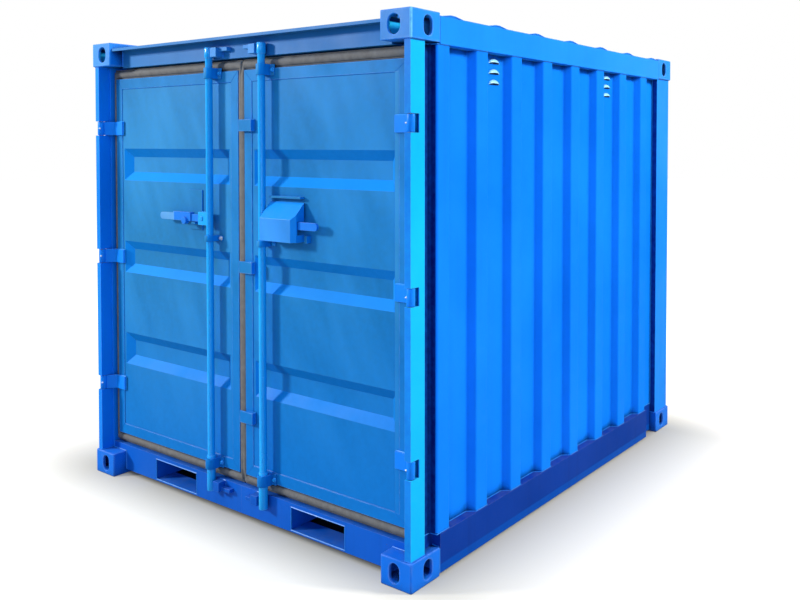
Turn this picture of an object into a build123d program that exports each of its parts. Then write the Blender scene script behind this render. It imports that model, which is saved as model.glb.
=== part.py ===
from build123d import *
import os

# A short steel storage container with two doors in one end.
# X runs across the doors, Y from the door end to the closed end, and Z is up.
# The origin is the middle of the ground rectangle, and depths are measured from the door end.
os.makedirs("parts", exist_ok=True)

# Overall size over the corner castings
length = 2438.0
width = 2200.0
height = 2260.0
DEEP = (0, 1, 0)
UP = (0, 0, 1)
SIDES = {"left": -1, "right": 1}

# Corner castings and their openings
casting_x = 162.0
casting_y = 178.0
casting_z = 118.0
casting_edge = 8.0
casting_side_wall = 16.0
casting_face_wall = 28.0
slot_length = 124.0
slot_width = 63.5
slot_from_end = 101.5
slot_from_side = 89.0
side_hole_height = 79.0
side_hole_width = 51.0
end_hole_height = 79.0
end_hole_width_top = 63.5
end_hole_width_bottom = 51.0

# Corner posts
post_inset = 10.0
post_front = 9.0
post_wall = 6.0
lip_width = 32.0
lip_depth = 60.0
post_body_width = 42.0
post_side_depth = 83.0
stop_web = 8.0
stop_flange = 48.0
stop_thickness = 6.0
stop_gap = 5.0
rear_post_side = 169.0
rear_post_web = 42.0
rear_post_face = 100.0
rear_post_fold = 51.0

# Top and bottom side rails
top_rail_height = 110.0
top_rail_width = 60.0
top_rail_wall = 4.0
top_rail_drop = 14.0
bottom_rail_low = 12.0
bottom_rail_top = 172.0
bottom_rail_wall = 4.5
bottom_rail_upper_flange = 48.0
bottom_rail_lower_flange = 30.0
bottom_rail_recess = 140.0

# Corrugated sheets
sheet = 2.0
fold_depth = 36.0
fold_flat = 80.0
fold_slope = 27.0
fold_inner = 132.0
fold_radius = 12.0
wall_inset = 6.0
first_flat = 163.0
first_return = 3.0
rear_wall_inset = 16.0
roof_rib_rise = 9.0
roof_rib_flat = 30.0
roof_rib_slope = 55.0
roof_rib_pitch = 319.0
roof_rib_radius = 120.0
roof_rib_end = 5.0
roof_flat_end = 11.0
roof_edge = 6.0

# Door header and sill, and the plates of the closed end
face_depth = 72.0
plate = 6.0
header_height = 95.0
header_drop = 31.0
header_back = 150.0
drip_front = 10.0
drip_height = 14.0
roof_lap = 20.0
stop_drop = 40.0
sill_low = 20.0
sill_top = 150.0
sill_back = 180.0
sill_joint = 0.2
rear_beam_inset = 9.0
rear_beam_depth = 60.0

# Floor, its bearers and the fork pockets
floor_board = 28.0
floor_gap = 1.0
bearer_width = 45.0
bearer_wall = 4.0
bearer_low = 18.0
bearer_first = 320.0
bearer_pitch = 290.0
pocket_inner = 338.0
pocket_width = 333.0
pocket_low = 28.0
pocket_height = 103.0
pocket_wall = 6.0

# Door leaves
leaf_face = 82.0
leaf_depth = 44.0
frame_bar = 52.0
frame_wall = 4.0
panel_set_back = 3.0
panel_skin = 2.0
groove_margin = 14.0
groove_height = 166.0
groove_slope = 44.0
groove_depth = 28.0
groove_count = 3
groove_shift = 7.0
gasket_set_back = 1.0
gasket_depth = 24.0
gasket_hinge_side = 25.0
gasket_seam_side = 17.8
gasket_foot = 48.0
gasket_head = 50.0
gasket_side_gap = 5.0
gasket_top_gap = 6.0
seam_gap = 8.4

# Hinges
hinge_from_foot = 271.0
hinge_from_head = 258.0
hinge_in = 27.0
hinge_depth = 29.0
knuckle_radius = 17.0
knuckle_height = 70.0
knuckle_gap = 2.0
notch_back = 59.0
pin_radius = 11.0
pin_gap = 0.3
lug_height = 20.0
strap_thickness = 10.0
strap_reach = 68.0

# Lock rods, their brackets and the keepers beside their ends
rod_x = 186.0
rod_depth = 46.0
rod_radius = 16.5
rod_past_sill = 52.0
rod_past_header = 53.0
collar_radius = 20.0
collar_height = 46.0
sleeve_height = 164.0
keeper_height = 44.0
keeper_inner = 113.0
keeper_outer = 157.0
keeper_front = 30.0
keeper_nose_end = 57.0
keeper_nose_height = 18.0
keeper_nose_front = 48.0
keeper_past_sill = 46.0
bracket_from_foot = 22.0
bracket_under_handle = 92.0
bracket_from_head = 8.0
bracket_tall = (50.0, 28.0, 50.0)
bracket_wall = 7.0
bracket_foot = 5.0
bracket_foot_width = 96.0
bracket_gap = 0.4

# Handles, their hubs on the rods, and their catches on the leaves
handle_height = 1386.0
handle_bar_height = 34.0
handle_bar_depth = 12.0
handle_tips = {"left": 570.0, "right": 542.0}
handle_pin_x = 232.0
handle_pin_radius = 7.0
handle_pin_gap = 0.3
hub_end = 258.0
hub_web_end = 208.0
hub_height = 62.0
hub_cheek = 5.0
hub_gap = 2.0
hasp_start = 321.0
hasp_end = 456.0
hasp_rise = 8.0
hasp_depth = 24.0
knob_x = 360.0
knob_radius = 17.0
knob_length = 10.0
knob_drop = 15.0
catch_plate_start = 290.0
catch_plate_end = 393.0
catch_plate_drop = 61.0
catch_plate_rise = 131.0
catch_plate_thickness = 6.0
catch_shelf_start = 290.0
catch_shelf_end = 318.0
catch_shelf_thickness = 8.0
catch_shelf_gap = 5.0
catch_shelf_front = 38.0
rain_strip_start = 220.0
rain_strip_end = 418.0
rain_strip_rise = 114.0
rain_strip_thickness = 9.0
rain_strip_front = 60.0
stay_lug_start = 443.0
stay_lug_end = 459.0
stay_lug_drop = 76.0
stay_lug_height = 32.0
stay_lug_front = 60.0

# Lock box over the right handle
box_start = 208.0
box_end = 425.0
box_drop = 73.0
box_face_rise = 27.0
box_rise = 99.0
box_front = 13.0
box_back = 77.0
box_sheet = 4.0
box_bevel = 18.0
box_slot_drop = 41.0
box_slot_front = 38.0
box_hub_gap = 4.0

# Plates that reach from the right leaf over the seam
tab_rise = 4.0
tab_middle_rise = 25.0
tab_height = 54.0
tab_end = 92.0
tab_thickness = 8.0
tab_front = 62.0
tab_root = 8.0

# How far a cutting shape runs past the face that it cuts
cut_over = 1.0

# Places worked out from the sizes above
half_x = width / 2
half_y = length / 2
header_top = height - header_drop
header_low = header_top - header_height
post_x = half_x - post_inset
post_inner_x = post_x - post_body_width
hinge_x = half_x - hinge_in
wall_x = half_x - wall_inset
inner_x = wall_x - fold_depth
rail_top = height - top_rail_drop
rail_bottom = rail_top - top_rail_height
castings_inner_x = half_x - casting_x
wall_low = bottom_rail_top
wall_high = rail_bottom
fold_pitch = fold_flat + 2 * fold_slope + fold_inner
floor_low = pocket_low + pocket_height + pocket_wall + floor_gap
floor_top = floor_low + floor_board
gasket_outer = post_inner_x - gasket_side_gap
gasket_inner = seam_gap / 2
gasket_high = header_low - gasket_top_gap
gasket_low = sill_top + gasket_side_gap
pocket_outer = pocket_inner + pocket_width
leaf_inner_edge = gasket_inner + gasket_seam_side
leaf_outer_edge = gasket_outer - gasket_hinge_side
leaf_low = gasket_low + gasket_foot
leaf_high = gasket_high - gasket_head
leaf_mid_z = (leaf_low + leaf_high) / 2
hinge_low = leaf_low + hinge_from_foot
hinge_high = leaf_high - hinge_from_head
hinge_heights = (hinge_low, (hinge_low + hinge_high) / 2, hinge_high)
tab_heights = (hinge_heights[0] + tab_rise, hinge_heights[1] + tab_middle_rise, hinge_heights[2] + tab_rise)
rod_low = sill_top - rod_past_sill
rod_high = header_low + rod_past_header
bracket_heights = (
    leaf_low + bracket_from_foot,
    handle_height - bracket_under_handle,
    leaf_high - bracket_from_head,
)
box_low = handle_height - box_drop
wall_begin = post_front + post_side_depth
wall_end = length - post_front - rear_post_side
rail_step = length - casting_y - bottom_rail_recess
rear_wall_half = post_x - rear_post_face


def behind(depth):
    """The Y of a point this far behind the door end."""
    return depth - half_y


def front_plane(depth):
    """A plane that faces out of the door end, with X across and Z up."""
    return Plane(origin=(0, behind(depth), 0), x_dir=(1, 0, 0), z_dir=(0, -1, 0))


def bar(a0, a1, b0, b1):
    """A rectangle between two pairs of places, added to the sketch that is open."""
    with Locations(((a0 + a1) / 2, (b0 + b1) / 2)):
        Rectangle(abs(a1 - a0), abs(b1 - b0))


def block(x0, x1, y0, y1, z0, z1, mode=Mode.ADD):
    """A box between three pairs of places, for the part that is open."""
    with Locations(((x0 + x1) / 2, (y0 + y1) / 2, (z0 + z1) / 2)):
        Box(abs(x1 - x0), abs(y1 - y0), abs(z1 - z0), mode=mode)


def save(part, name):
    """Label a finished piece and write it."""
    part.label = name
    export_step(part, f"parts/{name}.step")


def make_castings(end, level):
    """The pair of hollow corner castings at one end and level, with a slot and two holes in each."""
    z_face = height if level > 0 else 0.0
    y_mid = end * (half_y - casting_y / 2)
    z_mid = z_face - level * casting_z / 2
    cavity_z = casting_z - casting_face_wall - casting_side_wall
    cavity_shift = level * (casting_face_wall - casting_side_wall) / 2
    slot_y = end * (half_y - slot_from_end)
    end_hole_width = end_hole_width_top if level > 0 else end_hole_width_bottom
    with BuildPart() as castings:
        for side in SIDES.values():
            with Locations((side * (half_x - casting_x / 2), y_mid, z_mid)):
                Box(casting_x, casting_y, casting_z)
        fillet(castings.edges().filter_by(Axis.Z), radius=casting_edge)
        for side in SIDES.values():
            slot_x = side * (half_x - slot_from_side)
            with Locations((side * (half_x - casting_x / 2), y_mid, z_mid - cavity_shift)):
                Box(casting_x - 2 * casting_side_wall, casting_y - 2 * casting_side_wall, cavity_z,
                    mode=Mode.SUBTRACT)
            with BuildSketch(Plane(origin=(slot_x, slot_y, z_face), x_dir=DEEP, z_dir=(0, 0, level))):
                SlotOverall(slot_length, slot_width)
            extrude(amount=-casting_z / 2, mode=Mode.SUBTRACT)
            with BuildSketch(Plane(origin=(side * half_x, slot_y, z_mid), x_dir=UP, z_dir=(side, 0, 0))):
                SlotOverall(side_hole_height, side_hole_width)
            extrude(amount=-casting_x / 2, mode=Mode.SUBTRACT)
            with BuildSketch(Plane(origin=(slot_x, end * half_y, z_mid), x_dir=UP, z_dir=(0, end, 0))):
                SlotOverall(end_hole_height, end_hole_width)
            extrude(amount=-casting_y / 2, mode=Mode.SUBTRACT)
    return castings.part


def make_door_post(side):
    """A door post: a hollow lip for the hinge pins, and a web and flange that the door stops at."""
    lip_x = post_x - lip_width
    lip_back = post_front + lip_depth
    side_back = post_front + post_side_depth
    flange_back = leaf_face + leaf_depth + stop_gap + stop_thickness
    outline = [
        (post_x, post_front),
        (post_x, side_back),
        (post_inner_x, side_back),
        (post_inner_x, lip_back),
        (lip_x, lip_back),
        (lip_x, post_front),
    ]
    with BuildPart() as post:
        with BuildSketch(Plane.XY.offset(casting_z)):
            with BuildLine():
                Polyline([(side * x, behind(d)) for x, d in outline], close=True)
            make_face()
            offset(amount=-post_wall, kind=Kind.INTERSECTION, mode=Mode.SUBTRACT)
            web_x = side * (post_inner_x + stop_web)
            bar(side * post_inner_x, web_x, behind(side_back), behind(flange_back))
            flange_edge = side * (post_inner_x - stop_flange)
            bar(flange_edge, side * post_inner_x, behind(flange_back - stop_thickness), behind(flange_back))
        extrude(amount=height - 2 * casting_z)
        for z in hinge_heights:
            reach = knuckle_height / 2 + knuckle_gap
            block(side * lip_x, side * post_x, behind(post_front), behind(notch_back),
                  z - reach - lug_height, z + reach + lug_height)
            block(side * (lip_x - cut_over), side * (post_x + cut_over),
                  behind(post_front - cut_over), behind(notch_back),
                  z - reach, z + reach, mode=Mode.SUBTRACT)
            with Locations((side * hinge_x, behind(hinge_depth), z)):
                Cylinder(pin_radius + pin_gap, 2 * (reach + lug_height), mode=Mode.SUBTRACT)
    return post.part


def make_rear_post(side):
    """A folded hollow post at the closed end."""
    back = half_y - post_front
    outline = [
        (post_x, back),
        (post_x, back - rear_post_side),
        (post_x - rear_post_web, back - rear_post_side),
        (post_x - rear_post_web, back - rear_post_fold),
        (post_x - rear_post_face, back - rear_post_fold),
        (post_x - rear_post_face, back),
    ]
    with BuildPart() as post:
        with BuildSketch(Plane.XY.offset(casting_z)):
            with BuildLine():
                Polyline([(side * x, y) for x, y in outline], close=True)
            make_face()
            offset(amount=-post_wall, kind=Kind.INTERSECTION, mode=Mode.SUBTRACT)
        extrude(amount=height - 2 * casting_z)
    return post.part


# As many folds, ribs and bearers as fit
fold_valley = 2 * fold_slope + fold_inner
side_folds = int((wall_end - first_flat - fold_slope + fold_valley) / fold_pitch)
rear_folds = int((2 * rear_wall_half - 2 * fold_slope + fold_valley) / fold_pitch)
roof_rib_foot = roof_rib_flat / 2 + roof_rib_slope
roof_ribs = 1 + int((length - 2 * (casting_y + roof_flat_end + roof_rib_foot)) / roof_rib_pitch)
bearer_count = 1 + int((rail_step - bearer_first - bearer_width) / bearer_pitch)


def fold_outline(start, lead, count, begin, end):
    """Places along a folded sheet and how far in each lies: flats out, valleys in by the fold depth."""
    points = [(begin, fold_depth)]
    for i in range(count):
        flat = start + i * fold_pitch
        rise = lead if i == 0 else fold_slope
        points += [(flat - rise, fold_depth), (flat, 0.0)]
        points += [(flat + fold_flat, 0.0), (flat + fold_flat + fold_slope, fold_depth)]
    points.append((end, fold_depth))
    return points


def make_side_wall(side):
    """A side wall of folded sheet between its posts and rails."""
    folds = fold_outline(first_flat, first_return, side_folds, wall_begin, wall_end)
    outer = [(side * (wall_x - inset), behind(d)) for d, inset in folds]
    inner = [(side * (wall_x - sheet - inset), behind(d)) for d, inset in folds]
    with BuildPart() as wall:
        with BuildSketch(Plane.XY.offset(wall_low)) as profile:
            with BuildLine():
                Polyline(outer + inner[::-1], close=True)
            make_face()
            bends = profile.vertices().filter_by_position(
                Axis.Y, behind(wall_begin) + cut_over, behind(wall_end) - cut_over)
            fillet(bends, radius=fold_radius)
        extrude(amount=wall_high - wall_low)
    return wall.part


# Corner castings, in pairs
for end_name, end in {"door": -1, "rear": 1}.items():
    for level_name, level in {"bottom": -1, "top": 1}.items():
        save(make_castings(end, level), f"castings_{end_name}_{level_name}")

# Corner posts and side walls
for side_name, side in SIDES.items():
    save(make_door_post(side), f"door_post_{side_name}")
    save(make_rear_post(side), f"rear_post_{side_name}")
    save(make_side_wall(side), f"side_wall_{side_name}")

# Top rails are box sections between the castings
for side_name, side in SIDES.items():
    with BuildPart() as top_rail:
        with BuildSketch(Plane.XZ.offset(half_y - casting_y)):
            bar(side * half_x, side * (half_x - top_rail_width), rail_bottom, rail_top)
            offset(amount=-top_rail_wall, kind=Kind.INTERSECTION, mode=Mode.SUBTRACT)
        extrude(amount=length - 2 * casting_y, dir=DEEP)
    save(top_rail.part, f"top_rail_{side_name}")

# Bottom rails are channels that open inwards, set back at the end next to the rear casting.
# A plate closes each one over the door casting and runs forward to the door post.
for side_name, side in SIDES.items():
    with BuildPart() as bottom_rail:
        with BuildSketch(front_plane(casting_y)):
            web_x = side * (half_x - bottom_rail_wall)
            bar(side * half_x, web_x, bottom_rail_low, bottom_rail_top)
            bar(side * half_x, side * (half_x - bottom_rail_upper_flange),
                bottom_rail_top - bottom_rail_wall, bottom_rail_top)
            bar(side * half_x, side * (half_x - bottom_rail_lower_flange),
                bottom_rail_low, bottom_rail_low + bottom_rail_wall)
        extrude(amount=rail_step - casting_y, dir=DEEP)
        inner_web_x = inner_x - bottom_rail_wall
        block(side * half_x, side * inner_web_x, behind(rail_step - bottom_rail_wall), behind(rail_step),
              bottom_rail_low, bottom_rail_top)
        block(side * inner_x, side * inner_web_x, behind(rail_step - bottom_rail_wall),
              behind(length - casting_y), bottom_rail_low, bottom_rail_top)
        block(side * half_x, side * inner_web_x, behind(casting_y), behind(casting_y + bottom_rail_wall),
              casting_z, bottom_rail_top)
        block(side * inner_x, side * (inner_x - sheet), behind(wall_begin), behind(casting_y),
              casting_z, bottom_rail_top)
    save(bottom_rail.part, f"bottom_rail_{side_name}")

# The closed end: folded sheet between the rear posts
rear_start = -(rear_folds * fold_pitch - fold_valley) / 2
rear_folds_line = fold_outline(rear_start, fold_slope, rear_folds, -rear_wall_half, rear_wall_half)
rear_outer = [(x, half_y - rear_wall_inset - inset) for x, inset in rear_folds_line]
rear_inner = [(x, half_y - rear_wall_inset - sheet - inset) for x, inset in rear_folds_line]
with BuildPart() as rear_wall:
    with BuildSketch(Plane.XY.offset(wall_low)) as rear_profile:
        with BuildLine():
            Polyline(rear_outer + rear_inner[::-1], close=True)
        make_face()
        rear_bends = rear_profile.vertices().filter_by_position(
            Axis.X, -rear_wall_half + cut_over, rear_wall_half - cut_over)
        fillet(rear_bends, radius=fold_radius)
    extrude(amount=wall_high - wall_low)
save(rear_wall.part, "rear_wall")

# Roof sheet with low pressed ribs, lying on the top rails, and a small plate in the end of each rib
roof_start = -(roof_ribs - 1) * roof_rib_pitch / 2
roof_line = [(-half_y + casting_y, 0.0)]
for i in range(roof_ribs):
    rib = roof_start + i * roof_rib_pitch
    roof_line += [(rib - roof_rib_foot, 0.0), (rib - roof_rib_flat / 2, roof_rib_rise)]
    roof_line += [(rib + roof_rib_flat / 2, roof_rib_rise), (rib + roof_rib_foot, 0.0)]
roof_line.append((half_y - casting_y, 0.0))
roof_under = [(y, rail_top + rise) for y, rise in roof_line]
roof_over = [(y, rail_top + sheet + rise) for y, rise in roof_line]
with BuildPart() as roof:
    with BuildSketch(Plane.YZ) as roof_profile:
        with BuildLine():
            Polyline(roof_over + roof_under[::-1], close=True)
        make_face()
        roof_bends = roof_profile.vertices().filter_by_position(
            Axis.Y, -half_y + casting_y + cut_over, half_y - casting_y - cut_over)
        fillet(roof_bends, radius=roof_rib_radius)
    extrude(amount=half_x - roof_edge, both=True)
    for side in SIDES.values():
        with BuildSketch(Plane.YZ.offset(side * (half_x - roof_edge))):
            for i in range(roof_ribs):
                rib = roof_start + i * roof_rib_pitch
                rib_flat = roof_rib_flat / 2
                with BuildLine():
                    Polyline([(rib - roof_rib_foot, rail_top), (rib - rib_flat, rail_top + roof_rib_rise),
                              (rib + rib_flat, rail_top + roof_rib_rise), (rib + roof_rib_foot, rail_top)],
                             close=True)
                make_face()
        extrude(amount=-side * roof_rib_end)
save(roof.part, "roof")

# Door header: a hollow beam with a drip lip in front and a stop for the leaves below
with BuildPart() as door_header:
    with BuildSketch(Plane.YZ):
        bar(behind(drip_front), behind(drip_front + plate), header_top - drip_height, header_top)
        bar(behind(drip_front), behind(header_back), header_top - plate, header_top)
        bar(behind(face_depth), behind(face_depth + plate), header_low, header_top)
        bar(behind(face_depth), behind(header_back), header_low, header_low + plate)
        bar(behind(header_back - plate), behind(header_back), header_low, rail_top)
        bar(behind(header_back - plate), behind(casting_y + roof_lap), rail_top - plate, rail_top)
    extrude(amount=castings_inner_x, both=True)
    stop_back = leaf_face + leaf_depth + stop_gap + stop_thickness
    block(-(post_inner_x - stop_flange), post_inner_x - stop_flange, behind(stop_back - stop_thickness),
          behind(stop_back), header_low - stop_drop, header_low + plate)
save(door_header.part, "door_header")

# Door sill: a hollow beam with the mouths of the fork pockets and a raised back edge,
# in two lengths that meet in the middle
with BuildPart() as door_sill:
    with BuildSketch(Plane.YZ):
        bar(behind(face_depth), behind(face_depth + plate), sill_low, sill_top)
        bar(behind(face_depth), behind(sill_back), sill_top - plate, sill_top)
        bar(behind(sill_back - plate), behind(sill_back), sill_low, floor_top)
    extrude(amount=castings_inner_x, both=True)
    for side in SIDES.values():
        block(side * castings_inner_x, side * post_inner_x, behind(face_depth), behind(face_depth + plate),
              casting_z, sill_top)
        block(side * castings_inner_x, side * post_inner_x,
              behind(face_depth), behind(leaf_face + leaf_depth), sill_top - plate, sill_top)
        block(side * (pocket_inner - pocket_wall), side * (pocket_outer + pocket_wall), behind(face_depth),
              behind(sill_back), sill_low, pocket_low)
        block(side * pocket_inner, side * pocket_outer,
              behind(face_depth - cut_over), behind(face_depth + plate + cut_over),
              pocket_low, pocket_low + pocket_height, mode=Mode.SUBTRACT)
        block(side * (pocket_inner - pocket_wall), side * (pocket_outer + pocket_wall),
              behind(sill_back - plate - cut_over), behind(sill_back + cut_over), pocket_low,
              pocket_low + pocket_height + pocket_wall, mode=Mode.SUBTRACT)
    block(-sill_joint / 2, sill_joint / 2, behind(face_depth - cut_over), behind(sill_back + cut_over),
          sill_low, floor_top, mode=Mode.SUBTRACT)
save(door_sill.part, "door_sill")

# Beams of the closed end
rear_face_y = half_y - rear_beam_inset
rear_beam_y = rear_face_y - rear_beam_depth
with BuildPart() as rear_header:
    with BuildSketch(Plane.YZ):
        bar(rear_face_y - plate, rear_face_y, rail_bottom, rail_top)
        bar(rear_beam_y, rear_face_y, rail_bottom, rail_bottom + plate)
        bar(rear_beam_y, rear_beam_y + plate, rail_bottom, rail_top)
        bar(half_y - casting_y - roof_lap, rear_face_y, rail_top - plate, rail_top)
    extrude(amount=castings_inner_x, both=True)
save(rear_header.part, "rear_header")

with BuildPart() as rear_sill:
    with BuildSketch(Plane.YZ):
        bar(rear_face_y - plate, rear_face_y, sill_low, bottom_rail_top)
        bar(rear_beam_y, rear_face_y, bottom_rail_top - plate, bottom_rail_top)
        bar(rear_beam_y, rear_beam_y + plate, sill_low, bottom_rail_top)
    extrude(amount=castings_inner_x, both=True)
    for side in SIDES.values():
        block(side * (pocket_inner - pocket_wall), side * (pocket_outer + pocket_wall),
              rear_beam_y, rear_face_y, sill_low, pocket_low)
        block(side * pocket_inner, side * pocket_outer,
              rear_face_y - plate - cut_over, rear_face_y + cut_over,
              pocket_low, pocket_low + pocket_height, mode=Mode.SUBTRACT)
        block(side * (pocket_inner - pocket_wall), side * (pocket_outer + pocket_wall),
              rear_beam_y - cut_over, rear_beam_y + plate + cut_over, pocket_low,
              pocket_low + pocket_height + pocket_wall, mode=Mode.SUBTRACT)
    block(-sill_joint / 2, sill_joint / 2, rear_beam_y - cut_over, rear_face_y + cut_over,
          sill_low, bottom_rail_top, mode=Mode.SUBTRACT)
save(rear_sill.part, "rear_sill")

# Fork pockets: upside-down channels that run from sill to sill
for side_name, side in SIDES.items():
    with BuildPart() as fork_pocket:
        with BuildSketch(front_plane(face_depth + plate)):
            bar(side * (pocket_inner - pocket_wall), side * (pocket_outer + pocket_wall),
                pocket_low, pocket_low + pocket_height + pocket_wall)
            bar_mid = side * (pocket_inner + pocket_outer) / 2
            with Locations((bar_mid, pocket_low + pocket_height / 2)):
                Rectangle(pocket_width, pocket_height, mode=Mode.SUBTRACT)
        extrude(amount=rear_face_y - plate - behind(face_depth + plate), dir=DEEP)
    save(fork_pocket.part, f"fork_pocket_{side_name}")

# Floor bearers: channels from rail to rail, cut at the fork pockets
bearer_spans = (
    (-(half_x - bottom_rail_wall), -(pocket_outer + pocket_wall)),
    (-(pocket_inner - pocket_wall), pocket_inner - pocket_wall),
    (pocket_outer + pocket_wall, half_x - bottom_rail_wall),
)
with BuildPart() as floor_bearers:
    for span_start, span_end in bearer_spans:
        with BuildSketch(Plane.YZ.offset(span_start)):
            for i in range(bearer_count):
                y = behind(bearer_first + i * bearer_pitch)
                bar(y, y + bearer_wall, bearer_low, floor_low)
                bar(y, y + bearer_width, bearer_low, bearer_low + bearer_wall)
                bar(y, y + bearer_width, floor_low - bearer_wall, floor_low)
        extrude(amount=span_end - span_start)
save(floor_bearers.part, "floor_bearers")

# Plywood floor between the sills, the walls and the rails
floor_half = post_inner_x
with BuildPart() as floor:
    block(-floor_half, floor_half, behind(sill_back), rear_beam_y, floor_low, floor_top)
save(floor.part, "floor")

# Hinge pins in the lugs of the door posts
with BuildPart() as hinge_pins:
    for side in SIDES.values():
        for z in hinge_heights:
            with Locations((side * hinge_x, behind(hinge_depth), z)):
                Cylinder(pin_radius, knuckle_height + 2 * knuckle_gap + 2 * lug_height)
save(hinge_pins.part, "hinge_pins")

# Keepers on the header and the sill, each a block with a low nose towards the seam
with BuildPart() as rod_keepers:
    for side in SIDES.values():
        keeper_low = sill_top - keeper_past_sill
        keeper_high = rod_high - keeper_height
        for z, nose_z in ((keeper_low, keeper_low), (keeper_high, rod_high - keeper_nose_height)):
            block(side * keeper_inner, side * keeper_outer, behind(keeper_front), behind(face_depth),
                  z, z + keeper_height)
            block(side * keeper_nose_end, side * keeper_inner,
                  behind(keeper_nose_front), behind(face_depth), nose_z, nose_z + keeper_nose_height)
save(rod_keepers.part, "rod_keepers")

# Hooded vents in two valleys of both walls, three rows high
vents_from_rear = 3
vent_valleys = (1, side_folds - vents_from_rear)
vent_drop = 30.0
vent_pitch = 46.0
vent_rows = 3
vent_length = 78.0
vent_height = 22.0
vent_out = 12.0
with BuildPart() as vents:
    for side in SIDES.values():
        for valley in vent_valleys:
            y = behind(first_flat + fold_flat + fold_slope + fold_inner / 2 + valley * fold_pitch)
            for row in range(vent_rows):
                z = wall_high - vent_drop - row * vent_pitch
                vent_start = (side * inner_x, y - vent_length / 2, z)
                with BuildSketch(Plane(origin=vent_start, x_dir=(side, 0, 0), z_dir=DEEP)):
                    with BuildLine():
                        Polyline([(0, -side * vent_height / 2), (0, side * vent_height / 2),
                                  (vent_out, -side * vent_height / 2)], close=True)
                    make_face()
                extrude(amount=vent_length)
save(vents.part, "vents")

# Door leaves
leaf_width = leaf_outer_edge - leaf_inner_edge
leaf_height = leaf_high - leaf_low
panel_width = leaf_width - 2 * frame_bar
panel_height = leaf_height - 2 * frame_bar
panel_face = leaf_face + panel_set_back
groove_flat = (panel_height - groove_count * groove_height) / (groove_count + 1)
groove_width = panel_width - 2 * groove_margin
leaf_mid_x = (leaf_inner_edge + leaf_outer_edge) / 2

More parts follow.
